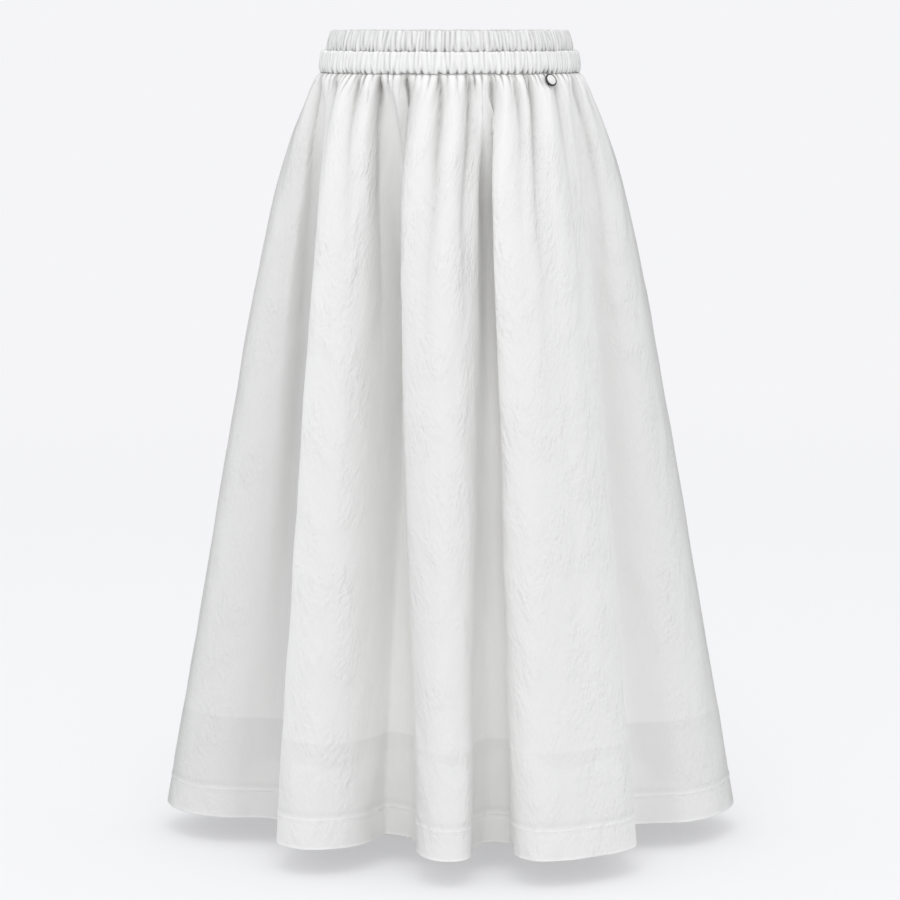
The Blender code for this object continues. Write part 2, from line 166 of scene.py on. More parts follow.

# One row for each fold of the skirt, at its angle round the waist: where it meets the hem, which
# way the hem's line heads there and how far its curve is pulled before and after, how much of it
# the lining follows, and how far it stands out (belly) and aside (sway) a third of the way down.
# Middle and low are the light and shade painted into its cloth: how much lighter or darker it is
# painted halfway down and at the hem.
HemRow = namedtuple(
    "HemRow", "name angle x y heading before after lining belly sway middle low",
    defaults=(0.0, 0.0, 0.0),
)
HEM = table(
    HemRow,
    ("left side", -90, -0.3360, 0.0000, -90, 0.050, 0.045, 0.88, 0.000, 0.000, 0.00, -0.06),
    ("recess A", -74, -0.2450, -0.0845, 2, 0.045, 0.022, 0.88, 0.006, 0.000, -0.10, -0.04),
    ("valley AB", -63, -0.1955, -0.0980, -40, 0.018, 0.022, 0.88, -0.020, 0.000, -0.20, -0.07),
    ("left edge of B", -60, -0.1975, -0.1860, -96, 0.026, 0.020, 0.72, 0.032, 0.000, 0.08),
    ("crest B", -49, -0.1530, -0.2305, 4, 0.022, 0.068, 0.88, 0.028, 0.004),
    ("valley BC", -27, -0.0720, -0.1605, -14, 0.006, 0.034, 0.90, -0.020, 0.023, 0.05, 0.05),
    ("left edge of C", -20, -0.0380, -0.2250, -100, 0.030, 0.020, 0.75, 0.032, -0.009),
    ("crest C", -5, -0.0050, -0.2805, 0, 0.018, 0.028, 0.65, 0.028),
    ("right edge of C", 9, 0.0255, -0.2280, 92, 0.034, 0.010, 0.75, 0.014, 0.008, 0.05, 0.06),
    ("valley CD", 13, 0.0470, -0.1945, -6, 0.010, 0.026, 0.90, 0.006, 0.004, 0.05, 0.09),
    ("left edge of D", 16, 0.0685, -0.2330, -102, 0.022, 0.018, 0.75, 0.030, -0.002, 0.06, 0.11),
    ("crest D", 26, 0.1040, -0.2790, 3, 0.020, 0.030, 0.68, 0.026),
    ("shoulder of D", 41, 0.1720, -0.2520, 28, 0.024, 0.014, 0.70, 0.018),
    ("right edge of D", 55, 0.2115, -0.2030, 92, 0.022, 0.024, 0.74, 0.006),
    ("valley DE", 60, 0.2080, -0.1210, 55, 0.022, 0.010, 0.88, -0.006, 0.000, 0.00, 0.11),
    ("recess E", 73, 0.2600, -0.1085, 6, 0.026, 0.036, 0.88, 0.006, 0.000, -0.05),
    ("right side", 90, 0.3380, 0.0000, 90, 0.050, 0.040, 0.92, 0.000),
    ("valley EF", 110, 0.2560, 0.1060, 140, 0.026, 0.028, 0.90, -0.012, 0.000, 0.00, 0.10),
    ("crest F", 129, 0.2180, 0.2240, 165, 0.046, 0.036, 0.72, 0.016),
    ("valley FG", 146, 0.1380, 0.1580, 180, 0.030, 0.026, 0.90, -0.014, 0.000, 0.00, 0.10),
    ("crest G", 163, 0.0740, 0.2740, 180, 0.046, 0.036, 0.68, 0.020),
    ("valley GH", 181, 0.0060, 0.1750, 180, 0.026, 0.026, 0.90, -0.016, 0.000, 0.00, 0.10),
    ("crest H", 197, -0.0680, 0.2680, 184, 0.036, 0.040, 0.68, 0.020),
    ("valley HI", 216, -0.1420, 0.1600, 180, 0.026, 0.026, 0.90, -0.014, 0.000, 0.00, 0.10),
    ("crest I", 232, -0.2240, 0.2120, 200, 0.036, 0.046, 0.72, 0.016),
    ("valley IA", 252, -0.2600, 0.0980, 215, 0.026, 0.026, 0.90, -0.012, 0.000, 0.00, 0.10),
    ("left side", 270, -0.3360, 0.0000, 270, 0.045, 0.050, 0.88, 0.000),
)

# Rounded ridges that the gathers merge into and, where the height is negative, sharp creases
# between them. Width is in degrees, reach is the drop over which the height halves, and lean is how
# far the ridge turns aside on its way down, in degrees round the waist to a metre.
# Shade is painted in the creases, the darker the deeper they are.
Ridge = namedtuple("Ridge", "angle height width reach lean")
RIDGES = table(
    Ridge,
    (-83.0, 0.0040, 3.6, 0.070, 20),
    (-76.5, -0.0085, 1.3, 0.060, 40),
    (-69.0, 0.0055, 3.4, 0.090, 60),
    (-61.0, -0.0095, 1.3, 0.110, 65),
    (-54.0, 0.0070, 3.4, 0.090, 55),
    (-47.2, -0.0090, 1.2, 0.045, 47),
    (-41.5, 0.0080, 3.0, 0.110, 40),
    (-35.8, -0.0115, 1.4, 0.080, 33),
    (-28.0, 0.0055, 2.8, 0.080, 55),
    (-21.6, -0.0130, 2.0, 0.200, 72),
    (-12.5, 0.0075, 3.6, 0.100, 62),
    (-5.0, -0.0122, 1.3, 0.070, 50),
    (2.0, 0.0065, 3.2, 0.100, 30),
    (9.0, -0.0105, 1.3, 0.085, 12),
    (14.5, 0.0055, 2.2, 0.080, 8),
    (20.2, -0.0102, 1.7, 0.160, 5),
    (26.0, 0.0065, 2.8, 0.100, 20),
    (31.0, -0.0080, 1.2, 0.050, 37),
    (34.6, 0.0050, 2.0, 0.080, 28),
    (37.9, -0.0120, 1.2, 0.065, 20),
    (45.6, 0.0070, 3.6, 0.100, 0),
    (54.3, -0.0075, 1.4, 0.050, -15),
    (60.5, 0.0050, 3.0, 0.080, 0),
    (69.0, -0.0065, 1.3, 0.090, 20),
    (74.0, 0.0045, 3.4, 0.090, 10),
    (82.0, 0.0040, 3.6, 0.080, 0),
    (99.0, 0.0045, 4.0, 0.100, 10),
    (109.0, -0.0078, 1.4, 0.070, 30),
    (120.0, 0.0065, 4.0, 0.120, 25),
    (127.0, -0.0109, 1.3, 0.080, 40),
    (134.0, 0.0070, 4.0, 0.110, 30),
    (144.0, -0.0124, 1.4, 0.090, 10),
    (155.0, 0.0065, 3.5, 0.120, 0),
    (162.0, -0.0093, 1.2, 0.060, -20),
    (169.0, 0.0060, 3.5, 0.130, -10),
    (179.0, -0.0124, 1.4, 0.080, 15),
    (190.0, 0.0070, 4.0, 0.110, 20),
    (198.0, -0.0093, 1.3, 0.070, 45),
    (206.0, 0.0060, 3.5, 0.120, 20),
    (216.0, -0.0124, 1.4, 0.090, -15),
    (226.0, 0.0070, 4.0, 0.120, -25),
    (233.0, -0.0078, 1.2, 0.060, -40),
    (241.0, 0.0060, 3.5, 0.090, -20),
    (251.0, -0.0109, 1.4, 0.080, -35),
    (261.0, 0.0045, 4.0, 0.100, -15),
)
RIDGE_RISE = 0.0220
RIDGE_LEAN = 1.3  # share of its lean that a ridge has at the waist seam
RIDGE_LEAN_REACH = 0.13  # drop over which the leaning dies away
RIDGE_FADE = (0.22, 0.20)  # drop at which the ridges begin to fade out, and how far they take
# A crease this deep has the darkest shade painted in it.
DEEPEST_CREASE = -0.0135
DEEPEST_FOLD = -0.0105

# Fine gathers just below the waist seam, uneven in width, height and reach.
PANEL_GATHERS = 50
GATHER_WIDTHS = (0.70, 1.35)  # least and most of each, width as a share of the mean
GATHER_HEIGHTS = (0.55, 1.0)  # a share of the tallest
GATHER_REACHES = (0.008, 0.034)
# Painted shade in the fold on each gather's left:
FOLD_DARKS = (0.55, 1.0)  # of the fold on a gather's left: how dark and how long it is
FOLD_LENGTHS = (0.005, 0.020)
GATHER_AT_SEAM = 0.50
GATHER_RISE = 0.0080
GATHER_LEAN = 22.0  # most that a gather leans aside, in degrees round the waist to a metre
DRIFT = 0.9  # most that folds wander aside on their way down, in degrees round the waist
DRIFT_WIDTH = 14.0
DRIFT_LENGTH = 0.075
# Painted shade in the folds where the seam pinches the gathers, for the three lines below.
PINCH_WIDTH = 0.55  # half width in degrees of the dark folds where the seam pinches the gathers
PINCH_TAPER = 0.40
PINCH_REACH = 0.0050
SEAM_TUCK = 0.0008  # how far the waist seam lies in under the band
PUFF_OUT = 0.0022  # how far the gathers puff out just below it
PUFF_DROP = 0.0060

# Charm: a notched metal cup with a plain dome in it, on a short stem, under the band.
CHARM_ANGLE = 46.9
CHARM_DROP = 0.0072
CHARM_STAND_OFF = 0.0040  # from the skirt's mean surface to the back of the cup
CHARM_TILT = 27.0  # degrees that the charm leans back, as the cloth below the seam does
CHARM_DENT_WIDTH = 3.4
CHARM_DENT_HEIGHT = 0.0080
CUP_NOTCHES = 24
CUP_STEPS = 4 * CUP_NOTCHES
CUP_NOTCH_DEPTH = 0.0003
CUP_HEIGHT = 0.0026
CUP_WALL = 0.0012
CUP_FLOOR = 0.0010
CUP_EDGE = 0.0004
STEM_RADIUS = 0.0013
STEM_FOOT = 0.7  # share of the stem's length past which it widens
STEM_FOOT_RADIUS = 1.5 * STEM_RADIUS
DOME_RISE = 0.0018
DOME_RINGS = 10

# Sewing.
STITCH_RADIUS = 0.00022
STITCH_SHARE = 0.78  # a stitch's length as a share of the step from one to the next
STITCH_LIFT = 0.4  # how far a stitch's middle stands off the cloth, as a share of its radius
WAIST_STITCH_DROP = 0.0016

# Rows of points down a panel: each band of rows ends at a drop and has this many rows.
RowBand = namedtuple("RowBand", "drop rows")
PANEL_ROWS = table(
    RowBand,
    (0.0120, 9),
    (0.0600, 14),
    (0.2000, 18),
    (0.8180, 46),
    (0.8340, 14),
    (0.8570, 4),
)
LINING_ROWS = table(
    RowBand,
    (0.0400, 8),
    (0.7300, 70),
    (LINING_DROP, 3),
)
HEM_ROLL = 0.0011  # radius of the fold along the hem's edge
HEM_ROLL_STEPS = 5
TURN_UP_ROWS = 6
HEM_RIDGE = 0.0007  # the turned-up edge shows as a low ridge through the cloth
HEM_RIDGE_WIDTH = 0.0016
HEM_GROOVE = 0.0004
HEM_GROOVE_BELOW = 0.0036  # from the ridge down to the stitched groove
HEM_GROOVE_WIDTH = 0.0014
SIDE_SEAM_GROOVE = 0.0006
SIDE_SEAM_WIDTH = 0.0025
DEEP = 0.0600  # how far in behind the crests a valley counts as fully deep

# Light and shade painted into the cloth's colour, as it is lit through and around: how much
# brighter a valley's walls are painted for each other's light, the cloth that faces up below the
# waist, and the tops of the gathers.
WALL_GLOW_LEFT = 0.05
WALL_GLOW_RIGHT = 0.13
CREST_GLOW = 0.040
CREST_HEIGHT = 0.0040
WAIST_GLOW = -0.010
WAIST_GLOW_TO = 0.35
# Painted light on the puffs of the gathers just below the waist seam.
SEAM_GLOW = 0.24  # how much brighter the gathers' puffs are at the waist seam
SEAM_GLOW_REACH = 0.0060
# The rim layer keeps the shade painted where the cloth turns away to the skirt's own edges.
RIM_FROM = 0.80  # share of a row's half width past which the skirt counts as its own edge

# Names of the layers that the cloth's materials read.
FLAT_CLOTH = "flat_cloth"
FACING = "facing"
FOLD_SHADE = "fold"
DEPTH = "depth"
TONE_AND_PAINTED_LIGHT = "tone"
RIM_SHADE = "rim"


def length_property(name, description, default, least, most):
    """A property for a length."""
    return FloatProperty(
        name=name, description=description, default=default, min=least, max=most, precision=4,
        unit="LENGTH",
    )


def colour_property(name, description, default):
    """A property for a colour."""
    return FloatVectorProperty(
        name=name, description=description, default=default, min=0.0, max=1.0, subtype="COLOR",
    )


class SkirtSizes(bpy.types.PropertyGroup):
    """Sizes that a maker would change."""

    cloth: length_property("Cloth", "Thickness of the skirt's cloth", 0.0007, 0.0003, 0.0015)
    lining: length_property("Lining", "Thickness of the lining's cloth", 0.0005, 0.0002, 0.0010)
    hem: length_property("Hem", "Height of the turned-up hem", 0.0340, 0.010, 0.060)
    gathers: length_property(
        "Gathers", "Height of the tallest fine gathers below the waist seam", 0.0060, 0.0, 0.008
    )
    crumple: length_property(
        "Crumple", "Height of the soft creases all over the cloth", 0.0009, 0.0, 0.003
    )
    wrinkles: length_property(
        "Band wrinkles", "Depth of the wrinkles across the elastic channels", 0.0024, 0.0, 0.003
    )
    stitch: length_property("Stitch", "Length of one stitch", 0.0028, 0.0015, 0.005)
    charm: length_property("Charm", "Radius of the charm", 0.0075, 0.004, 0.010)
    seed: IntProperty(
        name="Seed",
        description="Starts the uneven placing of the gathers and creases",
        default=7, min=0,
    )


class SkirtColours(bpy.types.PropertyGroup):
    """Colours of the skirt and its floor."""

    cloth: colour_property("Cloth", "Colour of the skirt's cloth", (0.736, 0.732, 0.720))
    band: colour_property("Band", "Colour of the waistband's cloth", (0.735, 0.732, 0.722))
    lining: colour_property("Lining", "Colour of the lining", (0.800, 0.800, 0.795))
    thread: colour_property("Thread", "Colour of the sewing thread", (0.900, 0.900, 0.890))
    metal: colour_property("Metal", "Colour of the charm's cup", (0.070, 0.070, 0.080))
    enamel: colour_property("Enamel", "Colour of the charm's dome", (0.700, 0.690, 0.670))
    backdrop: colour_property(
        "Backdrop", "Colour of the floor and of the space behind", (0.913, 0.913, 0.930)
    )


# ---------------------------------------------------------------- lines and sections of the cloth

HEM_COLUMNS = HemRow(*(np.array(column) for column in zip(*HEM)))
HEM_PLACE = np.stack([HEM_COLUMNS.x, HEM_COLUMNS.y], axis=1)
HEM_TURN = np.radians(HEM_COLUMNS.heading)
HEM_HEADING = np.stack([np.cos(HEM_TURN), np.sin(HEM_TURN)], axis=1)


def smooth_step(value, end):
    """Rises smoothly from 0 at 0 to 1 at end."""
    share = np.clip(value / end, 0.0, 1.0)
    return share * share * (3 - 2 * share)


def ellipse_points(angles, half_widths):
    """Points in plan on a waist ellipse."""
    turn = np.radians(angles)
    half_depths = half_widths - WIDTH_OVER_DEPTH
    return np.stack([half_widths * np.sin(turn), -half_depths * np.cos(turn)], axis=-1)


def hem_places(angles):
    """The row of the hem's line before each angle, and the share of the way to the next one."""
    rows = HEM_COLUMNS.angle
    start = np.clip(np.searchsorted(rows[1:], angles), 0, len(HEM) - 2)
    share = (angles - rows[start]) / (rows[start + 1] - rows[start])
    return start, share


def hem_points(angles):
    """Points in plan where the folds from these places reach the hem: a chain of Bezier curves."""
    start, share = hem_places(angles)
    t = share[:, None]
    first = HEM_PLACE[start]
    last = HEM_PLACE[start + 1]
    out = first + HEM_HEADING[start] * HEM_COLUMNS.after[start, None]
    back = last - HEM_HEADING[start + 1] * HEM_COLUMNS.before[start + 1, None]
    near = first * (1 - t) ** 3 + out * 3 * t * (1 - t) ** 2
    return near + back * 3 * t * t * (1 - t) + last * t**3


def spread(drop):
    """How far, from 0 to 1, the cloth has gone from the waist's line to the hem's."""
    return PUFF * (1 - math.exp(-drop / PUFF_REACH)) + (1 - PUFF) * drop / SKIRT_DROP


def between_rows(values, angles):
    """Values of the hem's rows, eased from each row to the next."""
    start, share = hem_places(angles)
    return values[start] + (values[start + 1] - values[start]) * smooth_step(share, 1.0)


def swell(drop):
    """How much of its belly and sway a flute has, up to 1 a third of the way down."""
    down = drop / SKIRT_DROP
    return 27 / 4 * down * (1 - down) ** 2


def to_the_side(angles):
    """-1 at the front of the skirt and 1 at its back."""
    return np.where(angles < 90, -1.0, 1.0)


def skirt_points(angles, drop):
    """Points in plan of the skirt's flutes alone, without gathers and ridges."""
    waist = ellipse_points(angles, WAIST_SEAM_HALF_WIDTH)
    points = waist + (hem_points(angles) - waist) * spread(drop)
    points[:, 0] += swell(drop) * between_rows(HEM_COLUMNS.sway, angles)
    points[:, 1] += swell(drop) * between_rows(HEM_COLUMNS.belly, angles) * to_the_side(angles)
    return points


def lining_points(angles, drop):
    """Points in plan that the lining is set in from."""
    taken = between_rows(HEM_COLUMNS.lining, angles)
    waist = ellipse_points(angles, WAIST_SEAM_HALF_WIDTH)
    points = waist + (hem_points(angles) - waist) * spread(drop) * taken[:, None]
    inward = np.minimum(between_rows(HEM_COLUMNS.belly, angles), 0.0)
    points[:, 1] += swell(drop) * inward * to_the_side(angles)
    return points


def lining_inset(drop):
    """How far the lining is set in from its line at this height."""
    deepest = LINING_INSET + GATHER_DEPTH * math.exp(-((drop / GATHER_DEPTH_REACH) ** 2))
    return LINING_INSET_AT_SEAM + (deepest - LINING_INSET_AT_SEAM) * smooth_step(drop, LINING_EASE)


def lengths_along(line):
    """The length of a line from its start to each of its points."""
    steps = np.linalg.norm(np.diff(line, axis=0), axis=1)
    return np.concatenate([[0.0], np.cumsum(steps)])


def fine_line(points_at, start, drop):
    """Close places round the waist across a panel, and its line in plan through them."""
    angles = np.linspace(start, start + PANEL_ANGLE, FINE_STEPS + 1)
    return angles, points_at(angles, drop)


def shared_line(points_at, start, drop, shares):
    """A panel's line in plan, as points at these shares of the way along it, and its length."""
    fine = fine_line(points_at, start, drop)[1]
    lengths = lengths_along(fine)
    along = shares * lengths[-1]
    line = np.stack([np.interp(along, lengths, fine[:, axis]) for axis in (0, 1)], axis=1)
    return line, lengths[-1]


def angles_along(points_at, start, drop, shares):
    """The places round the waist of the folds at these shares of the way along a panel's line."""
    angles, fine = fine_line(points_at, start, drop)
    lengths = lengths_along(fine)
    return np.interp(shares * lengths[-1], lengths, angles)


def outward(line):
    """The way out of the skirt, square to a panel's line, at each of its points."""
    flip = np.array([1.0, -1.0])
    longer = np.concatenate([[line[1] * flip], line, [line[-2] * flip]])
    along = longer[2:] - longer[:-2]
    along /= np.linalg.norm(along, axis=1)[:, None]
    return np.stack([along[:, 1], -along[:, 0]], axis=1)


def parted(line):
    """A panel's line with its ends moved a little to their own side of the side seams."""
    for end, near in ((0, 1), (-1, -2)):
        line[end, 1] += math.copysign(SIDE_GAP / 2, line[near, 1])
    return line


def at_drop(line, drop):
    """A line in plan as points in space, at its drop."""
    return np.insert(line, 2, WAIST_SEAM_Z - drop, axis=1)


def flat_row(shares, width, down):
    """A row of places in the flat cloth."""
    return np.stack([shares * width, np.full(len(shares), down)], axis=1)


def banded_drops(bands):
    """Drops of the rows of points, from the tables of row bands."""
    drops = [0.0]
    for band in bands:
        drops.extend(np.linspace(drops[-1], band.drop, band.rows + 1)[1:])
    return drops


def uneven_edges(count, widths, random):
    """Where uneven gathers side by side end, as shares of the whole width, from the least and most
    of their widths."""
    widths = random.uniform(*widths, count)
    return np.concatenate([[0.0], np.cumsum(widths)]) / widths.sum()


def column_shares(edges):
    """Places of a panel's columns, as shares of its width: the same number to each gather, and
    closer together towards the folds between gathers."""
    turn = np.linspace(0.0, math.pi, COLUMNS_TO_A_GATHER, endpoint=False)
    within = (1 - np.cos(turn)) / 2
    shares = edges[:-1, None] + np.diff(edges)[:, None] * within
    return np.append(shares.ravel(), 1.0)


def uneven_gathers(start, edges, height, random):
    """Fine gathers side by side along a panel: centre, half width, height and reach of each, how
    dark and how long the shade painted in the fold on its left is, and how far it leans aside."""
    count = len(edges) - 1
    edges = start + PANEL_ANGLE * edges
    centres = (edges[1:] + edges[:-1]) / 2
    halves = np.diff(edges) / 2
    heights = height * random.uniform(*GATHER_HEIGHTS, count) * halves / halves.max()
    reaches = random.uniform(*GATHER_REACHES, count)
    darks = random.uniform(*FOLD_DARKS, count)
    lengths = random.uniform(*FOLD_LENGTHS, count)
    leans = random.uniform(-GATHER_LEAN, GATHER_LEAN, count)
    return np.stack([centres, halves, heights, reaches, darks, lengths, leans], axis=1)


def gather_heights(places, drop, gathers):
    """How far the gathers and ridges raise the cloth at each column of a row, how deep, from 0 to
    1, each column lies in a fold, which sets the shade painted there, and how much of a crest, or
    of a trough below 0, it is on, which sets the light and shade painted on the gathers."""
    rise = GATHER_AT_SEAM + (1 - GATHER_AT_SEAM) * smooth_step(drop, GATHER_RISE)
    total = np.zeros(len(places))
    fold = np.zeros(len(places))
    narrow = PINCH_WIDTH * (PINCH_TAPER + math.exp(-drop / PINCH_REACH))
    for centre, half, height, reach, dark, length, lean in gathers:
        centre = centre + lean * drop
        across = np.clip(1 - ((places - centre) / half) ** 2, 0.0, None)
        inside = np.abs(places - centre) <= half
        fade = rise * math.exp(-((drop / reach) ** 2))
        total += height * (across - 0.5) * fade * inside
        away = np.abs(places - centre + half) / narrow
        fold = np.maximum(fold, dark * np.exp(-(away**2)) * math.exp(-((drop / length) ** 2)))
    leaning = RIDGE_LEAN * RIDGE_LEAN_REACH * (1 - math.exp(-drop / RIDGE_LEAN_REACH))
    left = 1 - smooth_step(drop - RIDGE_FADE[0], RIDGE_FADE[1])
    for ridge in RIDGES:
        away = np.abs(places - ridge.angle - ridge.lean * leaning) / ridge.width
        across = np.exp(-(away**2 if ridge.height > 0 else away))
        fade = left * 0.5 ** (drop / ridge.reach)
        total += ridge.height * across * smooth_step(drop, RIDGE_RISE) * fade
        if ridge.height < 0:
            fold = np.maximum(fold, across * fade * ridge.height / DEEPEST_CREASE)
    total = np.maximum(total, DEEPEST_FOLD)
    crest = np.clip(total / CREST_HEIGHT, -1.0, 1.0)
    puff = PUFF_OUT * (drop / PUFF_DROP) * math.exp(1 - drop / PUFF_DROP)
    return total + puff - SEAM_TUCK, fold, crest


def pressed(places, drop, height):
    """The cloth's height with the dent that the charm presses into it."""
    across = (places - CHARM_ANGLE) / CHARM_DENT_WIDTH
    down = (drop - CHARM_DROP) / CHARM_DENT_HEIGHT
    press = np.exp(-(across**2) - down**2)
    return height * (1 - press)


# Soft creases all over the cloth: width and length of each size of them and its share of the
# height. They slant one way or the other, and take turns in wide patches.
CRUMPLES = ((0.034, 0.120, 1.0), (0.016, 0.060, 0.55), (0.010, 0.026, 0.35))
CRUMPLE_SLANTS = (-22, 24)
CRUMPLE_TURNS = (0.110, 0.160, 10)  # width, length and slant of the patches
CRUMPLE_BLEND = 0.7
CRUMPLE_FROM = 0.10  # how far down the cloth they are at their full height
CRUMPLE_LATTICE = 256  # points each way before they repeat


class Crumple:
    """Smooth uneven heights, from -1 to 1, over flat cloth: long soft creases on a slant."""

    def __init__(self, random, width, length, slant):
        self.lattice = random.uniform(-1.0, 1.0, (CRUMPLE_LATTICE, CRUMPLE_LATTICE))
        self.width = width
        self.length = length
        self.turn = math.radians(slant)

    def point(self, x, y):
        """Heights at points of the lattice, which repeats."""
        return self.lattice[y % CRUMPLE_LATTICE, x % CRUMPLE_LATTICE]

    def heights(self, across, down):
        """Heights at points of the cloth, given in metres."""
        x = (across * math.cos(self.turn) - down * math.sin(self.turn)) / self.width
        y = (across * math.sin(self.turn) + down * math.cos(self.turn)) / self.length
        x0 = np.floor(x).astype(int)
        y0 = np.floor(y).astype(int)
        fx = smooth_step(x - x0, 1.0)
        fy = smooth_step(y - y0, 1.0)
        top, bottom = (
            self.point(x0, y) * (1 - fx) + self.point(x0 + 1, y) * fx for y in (y0, y0 + 1)
        )
        return top * (1 - fy) + bottom * fy


def crumpled(random, across, down):
    """Creases of two slants that take turns over the cloth, large and small together."""
    turns = Crumple(random, *CRUMPLE_TURNS).heights(across, down)
    choice = smooth_step(turns + CRUMPLE_BLEND / 2, CRUMPLE_BLEND)
    total = np.zeros(across.shape)
    for width, length, weight in CRUMPLES:
        left, right = (
            Crumple(random, width, length, slant).heights(across, down) for slant in CRUMPLE_SLANTS
        )
        total += weight * (left * choice + right * (1 - choice))
    return total


# ---------------------------------------------------------------------------- meshes and objects


def finished(mesh, name):
    """The finished mesh's data."""
    data = bpy.data.meshes.new(name)
    mesh.to_mesh(data)
    mesh.free()
    return data


def grid_mesh(name, places, flat, layers=None, closed=False):
    """A sheet from a grid of places in space and the same grid's places in the flat cloth, with
    further layers of one value to a place. A closed one has its edges that meet welded
    together."""
    rows, columns = places.shape[:2]
    mesh = bmesh.new()
    bmesh.ops.create_grid(mesh, x_segments=columns - 1, y_segments=rows - 1, size=0.5)
    data = finished(mesh, name)
    unit = np.zeros(len(data.vertices) * 3)
    data.vertices.foreach_get("co", unit)
    unit = unit.reshape(-1, 3)
    column = np.rint((unit[:, 0] + 0.5) * (columns - 1)).astype(int)
    row = np.rint((0.5 - unit[:, 1]) * (rows - 1)).astype(int)
    data.vertices.foreach_set("co", places[row, column].ravel())
    corner = np.zeros(len(data.loops), np.int32)
    data.loops.foreach_get("vertex_index", corner)
    layer = data.uv_layers.new(name=FLAT_CLOTH)
    layer.data.foreach_set("uv", flat[row[corner], column[corner]].ravel())
    for key, values in (layers or {}).items():
        layer = data.attributes.new(key, "FLOAT", "POINT")
        layer.data.foreach_set("value", values[row, column])
    if closed:
        mesh = bmesh.new()
        mesh.from_mesh(data)
        bmesh.ops.remove_doubles(mesh, verts=mesh.verts, dist=WELD)
        bmesh.ops.recalc_face_normals(mesh, faces=mesh.faces)
        mesh.to_mesh(data)
        mesh.free()
    data.update()
    return data


def add_piece(name, data, material, slot, *nodes):
    """Makes a piece from a finished mesh and sets it on the frame, in place of these nodes."""
    data.shade_smooth()
    data.materials.append(material)
    piece = bpy.data.objects.new(name, data)
    bpy.context.scene.collection.objects.link(piece)
    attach(piece, "root")
    if nodes:
        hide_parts(*nodes)
    return piece


def thicken(piece, thickness):
    """Gives a sheet its thickness, inwards from its right side."""
    wall = piece.modifiers.new("thickness", "SOLIDIFY")
    wall.thickness = thickness
    wall.offset = -1.0
    wall.use_even_offset = False


def panel_section(hem):
    """A panel's section: the drop and inset of each row, down the outside, round the hem's edge
    and up the inside to the hem line."""
    outside = [(drop, 0.0) for drop in banded_drops(PANEL_ROWS)]
    centre = SKIRT_DROP - HEM_ROLL
    roll = []
    for step in range(HEM_ROLL_STEPS + 1):
        turn = math.pi * step / HEM_ROLL_STEPS
        roll.append((centre + HEM_ROLL * math.sin(turn), HEM_ROLL * (1 - math.cos(turn))))
    top = SKIRT_DROP - hem
    inside = [(drop, 2 * HEM_ROLL) for drop in np.linspace(centre, top, TURN_UP_ROWS + 1)[1:]]
    return outside + roll + inside


def hem_relief(drop, hem):
    """The low ridge and stitched groove along the hem line, on the outer face."""
    ridge = SKIRT_DROP - hem
    groove = ridge + HEM_GROOVE_BELOW
    up = HEM_RIDGE * math.exp(-(((drop - ridge) / HEM_RIDGE_WIDTH) ** 2))
    return up - HEM_GROOVE * math.exp(-(((drop - groove) / HEM_GROOVE_WIDTH) ** 2))


def depth_inside(line):
    """How deep, from 0 to 1, each point of a panel's line lies in behind its crests."""
    side = math.copysign(1.0, line[len(line) // 2, 1])
    hull = []
    for x, y in sorted(zip(line[:, 0], line[:, 1] * side)):
        while len(hull) > 1:
            (x0, y0), (x1, y1) = hull[-2:]
            if (x1 - x0) * (y - y0) < (y1 - y0) * (x - x0):
                break
            hull.pop()
        hull.append((x, y))
    front = np.interp(line[:, 0], [x for x, y in hull], [y for x, y in hull])
    return np.clip((front - line[:, 1] * side) / DEEP, 0.0, 1.0)


def row_painted_light(angles, drop, facing, depth):
    """The light and shade painted into a row's cloth: how much lighter or darker than its colour it
    is painted.
    """
    down = drop / SKIRT_DROP
    middle = between_rows(HEM_COLUMNS.middle, angles) * 4 * down * (1 - down)
    low = between_rows(HEM_COLUMNS.low, angles) * smooth_step(down - 0.5, 0.5)
    high = WAIST_GLOW * (1 - smooth_step(down, WAIST_GLOW_TO))
    glow = np.where(facing < 0, WALL_GLOW_LEFT, WALL_GLOW_RIGHT)
    return middle + low + high + glow * depth * facing**2


